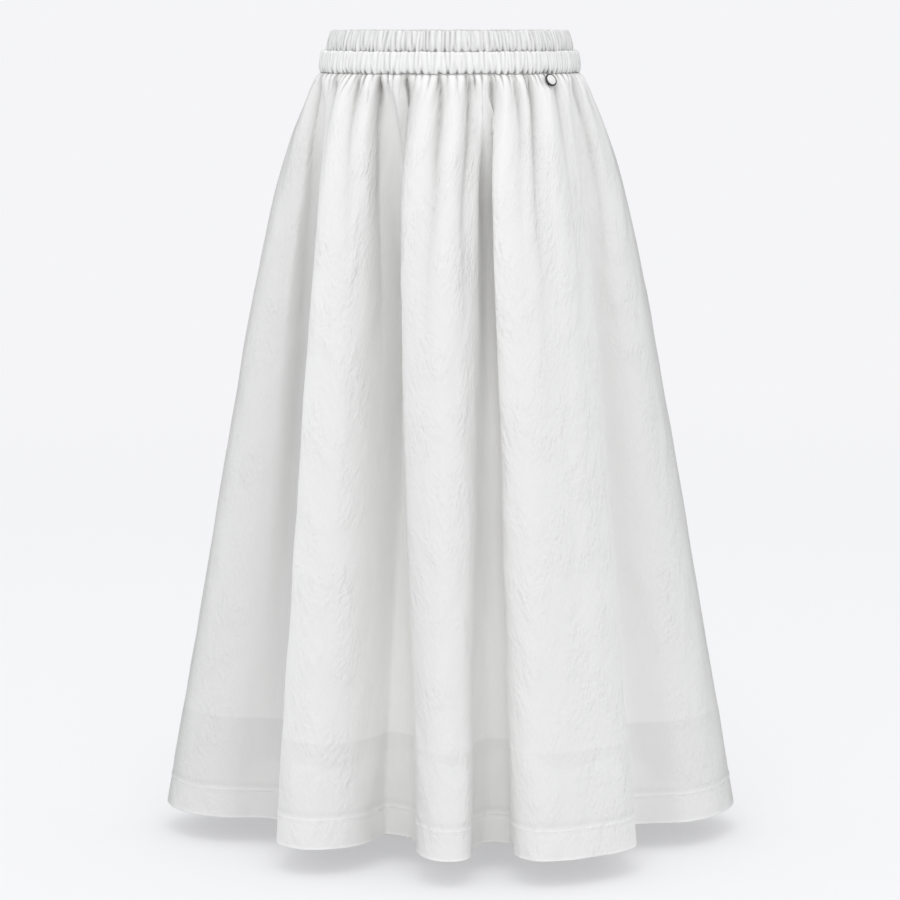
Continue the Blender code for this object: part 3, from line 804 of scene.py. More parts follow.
def panel_places(start, sizes, random):
    """Places in space and in the flat cloth of every point of a skirt panel, and the layers for
    its cloth."""
    edges = uneven_edges(PANEL_GATHERS, GATHER_WIDTHS, random)
    gathers = uneven_gathers(start, edges, sizes.gathers, random)
    share = column_shares(edges)
    places = start + PANEL_ANGLE * share
    section = panel_section(sizes.hem)
    hem_length = shared_line(skirt_points, start, SKIRT_DROP, share)[1]
    length = 0.0
    before = section[0]
    flat = []
    for drop, inset in section:
        length += math.dist((drop, inset), before)
        before = (drop, inset)
        flat.append(flat_row(share, hem_length, length))
    flat = np.array(flat)
    crumple = sizes.crumple * crumpled(random, flat[..., 0] + start, flat[..., 1])
    wander = Crumple(random, DRIFT_WIDTH, DRIFT_LENGTH, 0)
    rows = []
    layers = {FACING: [], FOLD_SHADE: [], DEPTH: [], TONE_AND_PAINTED_LIGHT: [], RIM_SHADE: []}
    for row, (drop, inset) in enumerate(section):
        line, length = shared_line(skirt_points, start, drop, share)
        line = parted(line)
        drift = DRIFT * wander.heights(places, np.full(len(places), drop))
        height, fold, crest = gather_heights(places + drift, drop, gathers)
        height = pressed(places, drop, height)
        height += crumple[row] * smooth_step(drop, CRUMPLE_FROM)
        from_seam = length * np.minimum(share, 1 - share)
        height -= SIDE_SEAM_GROOVE * np.exp(-((from_seam / SIDE_SEAM_WIDTH) ** 2))
        if inset < HEM_ROLL:
            height += hem_relief(drop, sizes.hem)
        out = outward(line)
        rows.append(at_drop(line + out * (height - inset)[:, None], drop))
        facing = out[:, 0] * np.sign(-out[:, 1] + 1e-9)
        depth = depth_inside(line)
        angles = angles_along(skirt_points, start, drop, share)
        wide = np.abs(line[:, 0])
        layers[FACING].append(facing)
        layers[FOLD_SHADE].append(fold)
        layers[DEPTH].append(depth)
        # Light and shade painted into the cloth: light on the puffs at the seam, light on the
        # gathers' crests and shade in their troughs, and the row's own painted light and shade.
        puffs = SEAM_GLOW * math.exp(-drop / SEAM_GLOW_REACH) * (1 - fold)
        layers[TONE_AND_PAINTED_LIGHT].append(row_painted_light(angles, drop, facing, depth) + CREST_GLOW * crest + puffs)
        layers[RIM_SHADE].append(smooth_step(wide / wide.max() - RIM_FROM, 1 - RIM_FROM))
    return np.array(rows), flat, {key: np.array(values) for key, values in layers.items()}


def make_panel(name, node, start, sizes, material, seed):
    """One gathered panel of the skirt with its turned-up hem."""
    random = np.random.default_rng(seed)
    data = grid_mesh(name, *panel_places(start, sizes, random))
    piece = add_piece(name, data, material, "skirt_cloth", node)
    thicken(piece, sizes.cloth)
    return piece


def make_lining(name, node, start, sizes, material):
    """One panel of the lining."""
    rows = []
    flat = []
    share = np.linspace(0.0, 1.0, LINING_COLUMNS + 1)
    widest = shared_line(lining_points, start, LINING_DROP, share)[1]
    for drop in banded_drops(LINING_ROWS):
        line = parted(shared_line(lining_points, start, drop, share)[0])
        rows.append(at_drop(line - outward(line) * lining_inset(drop), drop))
        flat.append(flat_row(share, widest, drop))
    data = grid_mesh(name, np.array(rows), np.array(flat))
    piece = add_piece(name, data, material, "lining_cloth", node)
    thicken(piece, sizes.lining)
    return piece


def curve_through(values, steps):
    """Values on a smooth closed curve through a closed row of values."""
    values = np.asarray(values, float)
    before = np.roll(values, 1)
    after = np.roll(values, -1)
    beyond = np.roll(values, -2)
    made = []
    for step in range(steps):
        t = step / steps
        bend = 2 * before - 5 * values + 4 * after - beyond
        twist = 3 * values - before - 3 * after + beyond
        made.append(values + 0.5 * t * (after - before + t * (bend + t * twist)))
    return np.stack(made, axis=1).ravel()


def around(turns, place):
    """How far round the channel each turn is from a place, in degrees."""
    return np.abs((turns - place + 180) % 360 - 180)


def pinched(turns, heights, places, random):
    """How deep, from 0 to 1, each point lies in the folds along a channel's bottom edge."""
    up = np.clip(heights, 0.0, None) / CHANNEL_PINCH_HEIGHT
    narrow = CHANNEL_PINCH_WIDTH * (PINCH_TAPER + np.exp(-up))
    total = np.zeros(turns.shape)
    for place in places:
        dark, size = random.uniform(*CHANNEL_PINCHES)
        away = around(turns, place) / narrow
        total = np.maximum(total, dark * np.exp(-(away**2) - (up / size) ** 2))
    return total


def gather_folds(seed):
    """Places round the waist seam of the folds between the gathers of both panels."""
    places = []
    for side, start in enumerate(PANEL_STARTS):
        random = np.random.default_rng(seed + side)
        edges = uneven_edges(PANEL_GATHERS, GATHER_WIDTHS, random)
        places.append(angles_along(skirt_points, start, 0.0, edges))
    return np.concatenate(places)


def wrinkled(turns, heights, count, random):
    """Uneven pleats side by side across an elastic channel, from 0 to 1, and how deep, from 0 to
    1, each point lies in the creases between them."""
    edges = 360 * uneven_edges(count, WRINKLE_WIDTHS, random)
    pleats = np.zeros(turns.shape)
    creases = np.zeros(turns.shape)
    for low, high in zip(edges, edges[1:]):
        half = (high - low) / 2
        size, dark = random.uniform(*WRINKLE_SIZES)
        lean = random.uniform(-1.0, 1.0) * (heights - 0.5)
        top, bottom = random.choice(WRINKLE_FADES, 2)
        risen = smooth_step(heights, WRINKLE_FADE_HEIGHT)
        fade = 1 - bottom * (1 - risen)
        fade -= top * smooth_step(heights - 1 + WRINKLE_FADE_HEIGHT, WRINKLE_FADE_HEIGHT)
        across = 1 - (around(turns, (low + high) / 2 + lean) / (half * WRINKLE_OVERLAP)) ** 2
        pleats = np.maximum(pleats, size * fade * np.clip(across, 0.0, None))
        crease = np.exp(-((around(turns, low + lean) / (half * CREASE_WIDTH)) ** 2))
        creases = np.maximum(creases, dark * fade * crease)
    return pleats, creases


def make_channel(channel, sizes, material, seed, folds):
    """One elastic channel of the waistband, gathered into uneven wrinkles, with folds along its
    bottom edge at these places."""
    random = np.random.default_rng(seed)
    section = [curve_through(column, SECTION_STEPS) for column in zip(*channel.table)]
    height, half_width, depth = (np.append(value, value[0])[:, None] for value in section)
    turns = np.linspace(0.0, 360.0, CHANNEL_COLUMNS + 1)[None, :]
    turned, risen = np.broadcast_arrays(turns, height)
    broad, creases = wrinkled(turned, risen, CHANNEL_WRINKLES, random)
    fine = wrinkled(turned, risen, 2 * CHANNEL_WRINKLES, random)[0]
    pinches = pinched(turned, risen, folds, random)
    wrinkles = (1 - FINE_WRINKLES) * broad + FINE_WRINKLES * fine - 0.5
    wrinkles -= CHANNEL_PINCH_DEPTH * pinches
    reach = half_width + sizes.wrinkles * channel.depth * depth * wrinkles
    plan = ellipse_points(np.broadcast_to(turns, reach.shape), reach)
    level = channel.bottom + height * CHANNEL_HEIGHT
    edges = smooth_step(height - 1 + SCALLOP_HEIGHT, SCALLOP_HEIGHT)
    edges = edges - 1 + smooth_step(height, SCALLOP_HEIGHT)
    puffed = broad - 0.5 - pinches
    level = level + SCALLOP * puffed * 2 * edges * np.minimum(depth, 1.0)
    # Painted shade in the creases, in the hollows of the pleats and in the pinches.
    hollow = (1 - np.clip(wrinkles + 0.5, 0.0, 1.0)) ** 2
    streaks = CREASE_SHARE * creases + (1 - CREASE_SHARE) * hollow
    fold = (channel.streak * streaks + channel.pinch * pinches) * np.minimum(depth, 1.0)
    places = np.concatenate([plan, level[..., None]], axis=2)
    down = lengths_along(places[:, 0])[:, None]
    flat = np.stack(np.broadcast_arrays(turns / 360 * CHANNEL_CUT, down), axis=2)
    # Painted shade where the band turns away, all round it, and its lighter tone.
    whole = np.ones(fold.shape)
    layers = {FOLD_SHADE: fold, RIM_SHADE: whole, TONE_AND_PAINTED_LIGHT: channel.tone * whole}
    data = grid_mesh(channel.piece, places, flat, layers, closed=True)
    return add_piece(channel.piece, data, material, "skirt_cloth", channel.node)


def turned_mesh(profile, steps):
    """A closed solid turned round Z from its profile, a row of radii and heights."""
    mesh = bmesh.new()
    points = [mesh.verts.new((radius, 0.0, height)) for radius, height in profile]
    edges = [mesh.edges.new(pair) for pair in zip(points, points[1:])]
    bmesh.ops.spin(
        mesh, geom=points + edges, cent=(0.0, 0.0, 0.0), axis=(0.0, 0.0, 1.0), angle=math.tau,
        steps=steps, use_merge=True,
    )
    bmesh.ops.remove_doubles(mesh, verts=mesh.verts, dist=WELD)
    bmesh.ops.recalc_face_normals(mesh, faces=mesh.faces)
    return mesh


def stand_on_cloth(mesh):
    """Moves a mesh made facing +Z to the charm's place, facing out of the cloth."""
    near = skirt_points(np.array([CHARM_ANGLE - 1, CHARM_ANGLE, CHARM_ANGLE + 1]), CHARM_DROP)
    along = near[2] - near[0]
    out = Vector((along[1], -along[0], 0.0)).normalized()
    centre = Vector((*near[1], WAIST_SEAM_Z - CHARM_DROP)) + out * CHARM_STAND_OFF
    facing = out + Vector((0.0, 0.0, math.tan(math.radians(CHARM_TILT))))
    turn = facing.to_track_quat("Z", "Y").to_matrix().to_4x4()
    bmesh.ops.transform(mesh, matrix=Matrix.Translation(centre) @ turn, verts=mesh.verts)


def make_cup(radius, material):
    """The charm's metal cup with its notched rim and the stem behind it."""
    inner = radius - CUP_WALL
    profile = (
        (0.0, -CHARM_STAND_OFF),
        (STEM_FOOT_RADIUS, -CHARM_STAND_OFF),
        (STEM_RADIUS, -CHARM_STAND_OFF * STEM_FOOT),
        (STEM_RADIUS, 0.0),
        (radius - CUP_EDGE, 0.0),
        (radius, CUP_EDGE),
        (radius, CUP_HEIGHT - CUP_EDGE),
        (radius - CUP_EDGE, CUP_HEIGHT),
        (inner + CUP_EDGE / 2, CUP_HEIGHT),
        (inner, CUP_HEIGHT - CUP_EDGE),
        (inner, CUP_FLOOR),
        (0.0, CUP_FLOOR),
    )
    mesh = turned_mesh(profile, CUP_STEPS)
    for vert in mesh.verts:
        reach = math.hypot(vert.co.x, vert.co.y)
        column = round(math.atan2(vert.co.y, vert.co.x) / math.tau * CUP_STEPS)
        if reach > radius - CUP_EDGE / 2 and column % 4 < 2:
            vert.co.xy *= 1 - CUP_NOTCH_DEPTH / reach
    stand_on_cloth(mesh)
    data = finished(mesh, "charm_cup_metal")
    return add_piece("charm_cup_metal", data, material, "charm_metal", "charm_cup")


def make_dome(radius, material):
    """The charm's plain dome, set in the cup."""
    foot = radius - CUP_WALL - SEAM_GAP
    profile = [(0.0, CUP_FLOOR + SEAM_GAP), (foot, CUP_FLOOR + SEAM_GAP)]
    for ring in range(DOME_RINGS + 1):
        turn = math.pi / 2 * ring / DOME_RINGS
        rise = CUP_HEIGHT - CUP_EDGE + DOME_RISE * math.sin(turn)
        profile.append((foot * math.cos(turn), rise))
    mesh = turned_mesh(profile, 2 * CUP_NOTCHES)
    stand_on_cloth(mesh)
    data = finished(mesh, "charm_dome_enamel")
    return add_piece("charm_dome_enamel", data, material, "charm_enamel", "charm_dome")


def panel_row(piece, drop):
    """The points of a finished panel's row that is nearest to a drop."""
    data = piece.data
    columns = COLUMNS_TO_A_GATHER * PANEL_GATHERS + 1
    places = np.zeros(len(data.vertices) * 3)
    data.vertices.foreach_get("co", places)
    places = places.reshape(-1, columns, 3)[::-1]
    return places[np.argmin(np.abs(places[:, 0, 2] - WAIST_SEAM_Z + drop))]


def make_stitches(name, line, step, material):
    """A row of stitches along a line on the cloth, joined into one piece."""
    lengths = lengths_along(line)
    count = int(lengths[-1] / step)
    ends = (np.arange(count)[:, None] + [0.5 - STITCH_SHARE / 2, 0.5 + STITCH_SHARE / 2]) * step
    ends = np.stack([np.interp(ends, lengths, line[:, axis]) for axis in range(3)], axis=2)
    mesh = bmesh.new()
    for first, last in ends:
        along = Vector(last - first)
        out = Vector((along.y, -along.x, 0.0)).normalized()
        place = Matrix.Translation(Vector((first + last) / 2) + out * STITCH_RADIUS * STITCH_LIFT)
        turn = along.to_track_quat("Z", "Y").to_matrix().to_4x4()
        size = Matrix.Diagonal((STITCH_RADIUS, STITCH_RADIUS, along.length / 2, 1.0))
        bmesh.ops.create_uvsphere(
            mesh, u_segments=6, v_segments=5, radius=1.0, matrix=place @ turn @ size
        )
    return add_piece(name, finished(mesh, name), material, "skirt_cloth")


# ------------------------------------------------------------------------------------- materials

# Grains of the crinkles: width and length of each in the cloth, and its height.
CRINKLES = (
    (0.0046, 0.0078, 0.00115),
    (0.0110, 0.0220, 0.00150),
)
CRINKLE_SLANT = -24.0
CRINKLE_SIDES = (-0.60, 0.60)  # facing from left to right, over which their slant changes
CRINKLE_PATCH = (0.045, 0.060)  # width and length of the patches that they are stronger in
CRINKLE_SHARES = (0.45, 1.25)  # least and most in the patches
CRINKLES_FROM = 0.10  # how far down the cloth they are at their full height
CRINKLES_AT_SEAM = 0.35
CRINKLES_IN_VALLEY = 0.2
VALLEY_RANGE = (0.1, 0.9)  # depth from a crest's to a valley's
LAYER_RANGE = (0.1, 0.8)  # the same, for how the lining shows
NOISE_RANGE = (0.3, 0.7)  # what most of a noise lies between
THREAD_WIDTH = 0.00045
THREAD_SLUB = 0.0040
THREAD_HEIGHT = 0.00012
LAYER_BLUR = 0.0012
ONE_LAYER = 0.93  # how bright a valley's cloth is alone, to where the lining lies behind it
TWO_LAYERS = 0.975
CREST_LAYER = 0.55  # the share of that difference that is left on the crests, away from the lining
# Painted shade where the cloth turns away from the camera.
EDGE_BLEND = 0.35
EDGE_RANGE = (0.25, 1.0)

# Tint of the shade painted in the folds.
FOLD_SHADE_TINT = (0.99, 0.985, 0.965)

# Crinkle is a share of the crinkles' height, fold how much darker and warm how much warmer the
# shade painted in a fold is, edge how bright the cloth is left by the shade painted where it turns
# away, and cover how much of what is behind it is hidden.
ClothLook = namedtuple("ClothLook", "crinkle fold warm edge cover roughness shine sheen")
BAND_LOOK = ClothLook(0.25, 0.24, 0.0, 0.62, 1.0, 0.55, 0.35, 0.1)
SKIRT_LOOK = ClothLook(1.0, 0.58, 1.0, 0.54, 0.96, 0.50, 0.40, 0.1)
LINING_LOOK = ClothLook(0.1, 0.0, 0.0, 0.80, 1.0, 0.45, 0.30, 0.0)

# Grain is the scale of the fine unevenness and height how high it is.
Finish = namedtuple("Finish", "grain height roughness metallic coat")
GRAIN_SHADES = (0.94, 1.04)
GRAIN_ROUGHNESS = (0.75, 1.25)
COAT_ROUGHNESS = 0.08
SHEEN_ROUGHNESS = 0.4
METAL_FINISH = Finish(900.0, 0.00004, 0.30, 1.0, 0.0)
ENAMEL_FINISH = Finish(500.0, 0.00003, 0.22, 0.0, 0.8)
THREAD_FINISH = Finish(4000.0, 0.00010, 0.60, 0.0, 0.0)

# Soft lines of painted light and shade along the hem: shade above the ridge of the turned-up edge,
# a highlight on it and shade in the stitched groove. Each has how far it is below the hem line, its
# half width, and how much brighter or darker the cloth is painted there.
PaintedHemLine = namedtuple("PaintedHemLine", "below width change")
PAINTED_HEM_LINES = table(
    PaintedHemLine,
    (-0.0050, 0.0036, -0.045),
    (0.0008, 0.0011, 0.130),
    (0.0046, 0.0012, -0.040),
)
# A painted highlight along the hem's folded edge.
PAINTED_HEM_EDGE = PaintedHemLine(-0.0008, 0.0020, 0.130)  # below the hem's own edge


def new_material(name):
    """An empty material and its Principled shader."""
    material = bpy.data.materials.new(name)
    material.use_nodes = True
    return material, material.node_tree.nodes["Principled BSDF"]


def new_group(name, inputs, output):
    """An empty group of shader nodes with its named inputs and one value out, and its input and
    output nodes."""
    group = bpy.data.node_groups.new(name, "ShaderNodeTree")
    for key in inputs:
        kind = "NodeSocketVector" if key == "Place" else "NodeSocketFloat"
        group.interface.new_socket(key, in_out="INPUT", socket_type=kind)
    group.interface.new_socket(output, in_out="OUTPUT", socket_type="NodeSocketFloat")
    return group, group.nodes.new("NodeGroupInput"), group.nodes.new("NodeGroupOutput")


def set_inputs(tree, node, values):
    """Sets inputs of a node, by name or number, each to a constant or to another node's output."""
    for key, value in values.items():
        if isinstance(value, bpy.types.NodeSocket):
            tree.links.new(value, node.inputs[key])
        else:
            node.inputs[key].default_value = value


def add_node(tree, kind, values=None, **settings):
    """A shader node of a kind, with its settings and the values of its inputs."""
    node = tree.nodes.new("ShaderNode" + kind)
    for key, value in settings.items():
        setattr(node, key, value)
    set_inputs(tree, node, values or {})
    return node


def add_math(tree, operation, first, second):
    """A math node of two values, each a socket or a number. Returns its output."""
    return add_node(tree, "Math", {0: first, 1: second}, operation=operation).outputs["Value"]


def add_range(tree, value, before, after, smooth=True):
    """A node that maps a value from one range to another. Returns its output."""
    values = {
        "Value": value, "From Min": before[0], "From Max": before[1], "To Min": after[0],
        "To Max": after[1],
    }
    kind = "SMOOTHSTEP" if smooth else "LINEAR"
    return add_node(tree, "MapRange", values, interpolation_type=kind).outputs["Result"]


def add_grain(tree, place, turn, width, length, detail):
    """Noise drawn out along the cloth: turned by some degrees, and so wide and long a grain."""
    turned = {
        "Vector": place, "Rotation": (0.0, 0.0, math.radians(turn)), "Scale": (width, length, 1.0),
    }
    mapping = add_node(tree, "Mapping", turned, vector_type="TEXTURE")
    values = {"Vector": mapping.outputs["Vector"], "Scale": 1.0, "Detail": detail}
    return add_node(tree, "TexNoise", values, noise_dimensions="2D").outputs["Fac"]


def add_bump(tree, height, distance):
    """A bump from a height. Returns its normals."""
    return add_node(tree, "Bump", {"Height": height, "Distance": distance}).outputs["Normal"]


def add_shaded(tree, base, shade):
    """A colour made lighter or darker by a shade. Returns the output."""
    values = {0: base, "Scale": shade}
    return add_node(tree, "VectorMath", values, operation="SCALE").outputs["Vector"]


def add_down(tree, place):
    """How far down the flat cloth a place is. Returns the output."""
    return add_node(tree, "SeparateXYZ", {"Vector": place}).outputs["Y"]


def crinkle_group():
    """Shader nodes for the height of fine crinkles, which slant with the side the cloth faces."""
    group, given, made = new_group("crinkles", ("Place", "Facing"), "Height")
    place = given.outputs["Place"]
    side = add_range(group, given.outputs["Facing"], CRINKLE_SIDES, (0.0, 1.0))
    down = add_down(group, place)
    share = add_range(group, down, (0.0, CRINKLES_FROM), (CRINKLES_AT_SEAM, 1.0))
    patches = add_grain(group, place, 0.0, *CRINKLE_PATCH, 1.0)
    stronger = add_range(group, patches, NOISE_RANGE, CRINKLE_SHARES)
    share = add_math(group, "MULTIPLY", share, stronger)
    total = 0.0
    for width, length, weight in CRINKLES:
        left = add_grain(group, place, CRINKLE_SLANT, width, length, 2.0)
        right = add_grain(group, place, -CRINKLE_SLANT, width, length, 2.0)
        change = add_math(group, "MULTIPLY", add_math(group, "SUBTRACT", right, left), side)
        height = add_math(group, "MULTIPLY", add_math(group, "ADD", left, change), weight)
        total = add_math(group, "ADD", total, height)
    group.links.new(add_math(group, "MULTIPLY", total, share), made.inputs["Height"])
    return group


def weave_group():
    """Shader nodes for the height of the uneven threads of a plain weave."""
    group, given, made = new_group("weave", ("Place",), "Height")
    place = given.outputs["Place"]
    warp = add_grain(group, place, 0.0, THREAD_WIDTH, THREAD_SLUB, 1.0)
    weft = add_grain(group, place, 90.0, THREAD_WIDTH, THREAD_SLUB, 1.0)
    height = add_math(group, "MULTIPLY", add_math(group, "MAXIMUM", warp, weft), THREAD_HEIGHT)
    group.links.new(height, made.inputs["Height"])
    return group


def add_bell(tree, value, line):
    """1 with a soft bell-shaped change along a line. Returns the output."""
    from_line = add_math(tree, "SUBTRACT", value, line.below)
    away = add_math(tree, "DIVIDE", from_line, line.width)
    square = add_math(tree, "MULTIPLY", away, away)
    bell = add_math(tree, "EXPONENT", add_math(tree, "MULTIPLY", square, -1.0), 0.0)
    return add_math(tree, "ADD", add_math(tree, "MULTIPLY", bell, line.change), 1.0)


def layers_group():
    """Shader nodes for how bright the cloth is where one, two or three layers lie together: the
    lining shows through as far as its edge, and the turned-up hem below the hem line. Along the hem
    they also paint a highlight on its ridge, shade above it and in the stitched groove, and a
    highlight along the hem's edge."""
    group, given, made = new_group("layers", ("Place", "Hem line", "Depth"), "Shade")
    down = add_down(group, given.outputs["Place"])
    edge = (LINING_DROP - LAYER_BLUR, LINING_DROP + LAYER_BLUR)
    single = add_range(group, down, edge, (0.0, ONE_LAYER - 1.0))
    share = add_range(group, given.outputs["Depth"], LAYER_RANGE, (CREST_LAYER, 1.0))
    shade = add_math(group, "ADD", add_math(group, "MULTIPLY", single, share), 1.0)
    past = add_math(group, "SUBTRACT", down, given.outputs["Hem line"])
    hem = add_range(group, past, (-LAYER_BLUR, LAYER_BLUR), (1.0, TWO_LAYERS / ONE_LAYER))
    shade = add_math(group, "MULTIPLY", shade, hem)
    # Painted highlights and painted shade along the hem line and the hem's edge.
    for line in PAINTED_HEM_LINES:
        shade = add_math(group, "MULTIPLY", shade, add_bell(group, past, line))
    from_edge = add_math(group, "SUBTRACT", down, SKIRT_DROP)
    shade = add_math(group, "MULTIPLY", shade, add_bell(group, from_edge, PAINTED_HEM_EDGE))
    group.links.new(shade, made.inputs["Shade"])
    return group


def add_group(tree, name, build, **values):
    """A node for a group of shader nodes, which is built once. Returns its output."""
    group = bpy.data.node_groups.get(name) or build()
    node = add_node(tree, "Group", node_tree=group)
    set_inputs(tree, node, {name.capitalize().replace("_", " "): values[name] for name in values})
    return node.outputs[0]


def add_layer(tree, name):
    """A node that reads a layer of the mesh. Returns its output."""
    return add_node(tree, "Attribute", attribute_name=name).outputs["Fac"]


def cloth_material(name, base, look, hem_line=None):
    """Fine woven cloth: crinkled, thin enough to let some light through, with light and shade
    painted
    into its colour: darker where it turns away and in its folds."""
    material, shader = new_material(name)
    tree = material.node_tree
    place = add_node(tree, "UVMap", uv_map=FLAT_CLOTH).outputs["UV"]
    facing = add_layer(tree, FACING)
    crinkles = add_group(tree, "crinkles", crinkle_group, place=place, facing=facing)
    weave = add_group(tree, "weave", weave_group, place=place)
    depth = add_layer(tree, DEPTH)
    crinkle = (look.crinkle, CRINKLES_IN_VALLEY * look.crinkle)
    fine = add_math(tree, "MULTIPLY", crinkles, add_range(tree, depth, VALLEY_RANGE, crinkle))
    # Painted shade where the cloth turns away, kept to the rim layer, and the painted light and
    # shade of the tone layer.
    weight = add_node(tree, "LayerWeight", {"Blend": EDGE_BLEND}).outputs["Facing"]
    away = add_range(tree, weight, EDGE_RANGE, (0.0, 1.0 - look.edge))
    away = add_math(tree, "MULTIPLY", away, add_layer(tree, RIM_SHADE))
    shade = add_math(tree, "SUBTRACT", add_math(tree, "ADD", add_layer(tree, TONE_AND_PAINTED_LIGHT), 1.0), away)
    if hem_line:
        layers = add_group(
            tree, "layers", layers_group, place=place, hem_line=hem_line, depth=depth
        )
        shade = add_math(tree, "MULTIPLY", shade, layers)
    # Painted shade in the folds, warmer the deeper the fold.
    fold = add_layer(tree, FOLD_SHADE)
    deep = add_math(tree, "MULTIPLY", fold, look.fold)
    shade = add_math(tree, "MULTIPLY", shade, add_math(tree, "SUBTRACT", 1.0, deep))
    warm = [part * share for part, share in zip(base, FOLD_SHADE_TINT)]
    tints = {
        "A": (*base, 1.0), "B": (*warm, 1.0), "Factor": add_math(tree, "MULTIPLY", fold, look.warm),
    }
    tint = add_node(tree, "Mix", tints, data_type="RGBA").outputs["Result"]
    back = add_node(tree, "NewGeometry").outputs["Backfacing"]
    set_inputs(tree, shader, {
        "Normal": add_bump(tree, add_math(tree, "ADD", fine, weave), 1.0),
        "Base Color": add_shaded(tree, tint, shade),
        "Alpha": add_range(tree, back, (0.0, 1.0), (look.cover, 0.0), smooth=False),
        "Roughness": look.roughness,
        "Sheen Weight": look.sheen,
        "Sheen Roughness": SHEEN_ROUGHNESS,
        "Specular IOR Level": look.shine,
    })
    return material


def plain_material(name, base, finish):
    """A material with fine uneven grain, in the object's own coordinates."""
    material, shader = new_material(name)
    tree = material.node_tree
    place = add_node(tree, "TexCoord").outputs["Object"]
    values = {"Vector": place, "Scale": finish.grain, "Detail": 3.0}
    grain = add_node(tree, "TexNoise", values).outputs["Fac"]
    rough = [finish.roughness * share for share in GRAIN_ROUGHNESS]
    set_inputs(tree, shader, {
        "Base Color": add_shaded(tree, base, add_range(tree, grain, NOISE_RANGE, GRAIN_SHADES)),
        "Normal": add_bump(tree, grain, finish.height),
        "Roughness": add_range(tree, grain, NOISE_RANGE, rough),
        "Metallic": finish.metallic,
        "Coat Weight": finish.coat,
        "Coat Roughness": COAT_ROUGHNESS,
    })
    return material


def add_mix(tree, share, first, second):
    """A mix of two shaders. Returns its output."""
    return add_node(tree, "MixShader", {"Fac": share, 1: first, 2: second}).outputs["Shader"]


def sizes_and_colours(context):
    """The scene's own sizes and colours."""
    return context.scene.skirt_sizes, context.scene.skirt_colours


# -------------------------------------------------------------------------------------- operators


CAMERA_PLACE = (0.0, -3.8, 0.0695)
CAMERA_PITCH = 7.99
CAMERA_LENS = 131.1
SENSOR_WIDTH = 36.0
FLOOR_Z = -0.915
FLOOR_RADIUS = 14.0
FLOOR_FADE = (1.6, 4.5)
SoftLight = namedtuple("SoftLight", "name place size power")
SOFT_LIGHTS = table(
    SoftLight,
    ("front softbox", (-0.8, -4.8, 1.6), 4.0, 32.0),
    ("top softbox", (0.0, -1.6, 3.0), 2.2, 30.0),
)
AMBIENT = 1.02
AMBIENT_COLOUR = (0.985, 0.995, 1.015)
FLOOR_SHADE = 0.82
FLOOR_ROUGHNESS = 0.9
FLOOR_SHINE = 0.1
FLOOR_FILL = 0.50  # share of the floor's look near the skirt that shadows leave alone
LIGHT_TARGET = (0.0, 0.0, -0.35)


def add_to_scene(thing):
    """Links an object to the scene."""
    bpy.context.scene.collection.objects.link(thing)
    return thing


def make_camera():
    """The camera at the photograph's angle."""
    data = bpy.data.cameras.new("camera")
    data.sensor_fit = "HORIZONTAL"
    data.sensor_width = SENSOR_WIDTH
    data.lens = CAMERA_LENS
    camera = add_to_scene(bpy.data.objects.new("camera", data))
    camera.location = CAMERA_PLACE
    camera.rotation_euler = (math.radians(90 - CAMERA_PITCH), 0.0, 0.0)
    bpy.context.scene.camera = camera


def make_lights():
    """Large soft lights in front of and over the skirt."""
    for light in SOFT_LIGHTS:
        data = bpy.data.lights.new(light.name, "AREA")
        data.size = light.size
        data.energy = light.power
        lamp = add_to_scene(bpy.data.objects.new(light.name, data))
        lamp.location = light.place
        facing = Vector(LIGHT_TARGET) - Vector(light.place)
        lamp.rotation_euler = facing.to_track_quat("-Z", "Y").to_euler()


def make_world(backdrop):
    """Even light all round, with the backdrop's colour where the camera sees it."""
    world = bpy.data.worlds.new("studio")
    bpy.context.scene.world = world
    world.use_nodes = True
    tree = world.node_tree
    light = tree.nodes["Background"]
    set_inputs(tree, light, {"Color": (*AMBIENT_COLOUR, 1.0), "Strength": AMBIENT})
    seen = add_node(tree, "Background", {"Color": (*backdrop, 1.0)})
    ray = add_node(tree, "LightPath").outputs["Is Camera Ray"]
    surface = add_mix(tree, ray, light.outputs["Background"], seen.outputs["Background"])
    set_inputs(tree, tree.nodes["World Output"], {"Surface": surface})


def make_floor(backdrop):
    """A wide pale floor that fades into the backdrop."""
    mesh = bmesh.new()
    bmesh.ops.create_circle(mesh, cap_ends=True, segments=96, radius=FLOOR_RADIUS)
    bmesh.ops.translate(mesh, verts=mesh.verts, vec=(0.0, 0.0, FLOOR_Z))
    data = finished(mesh, "floor")
    material, shader = new_material("floor")
    tree = material.node_tree
    set_inputs(tree, shader, {
        "Base Color": (FLOOR_SHADE, FLOOR_SHADE, FLOOR_SHADE, 1.0),
        "Roughness": FLOOR_ROUGHNESS,
        "Specular IOR Level": FLOOR_SHINE,
    })
    far = add_node(tree, "Emission", {"Color": (*backdrop, 1.0)})
    place = add_node(tree, "TexCoord").outputs["Object"]
    away = add_node(tree, "VectorMath", {0: place}, operation="LENGTH").outputs["Value"]
    ray = add_node(tree, "LightPath").outputs["Is Camera Ray"]
    fade = add_math(tree, "MULTIPLY", add_range(tree, away, FLOOR_FADE, (FLOOR_FILL, 1.0)), ray)
    surface = add_mix(tree, fade, shader.outputs["BSDF"], far.outputs["Emission"])
    set_inputs(tree, tree.nodes["Material Output"], {"Surface": surface})
    data.materials.append(material)
    add_to_scene(bpy.data.objects.new("floor", data))


class SKIRT_OT_stage(bpy.types.Operator):
    """Lay the pale floor and set the soft lights and the camera"""

    bl_idname = "skirt.stage"
    bl_label = "Stage"

    def execute(self, context):
        colours = context.scene.skirt_colours
        make_camera()
        make_lights()
        make_world(colours.backdrop)
        make_floor(colours.backdrop)
        context.scene.view_settings.view_transform = "Standard"
        return {"FINISHED"}


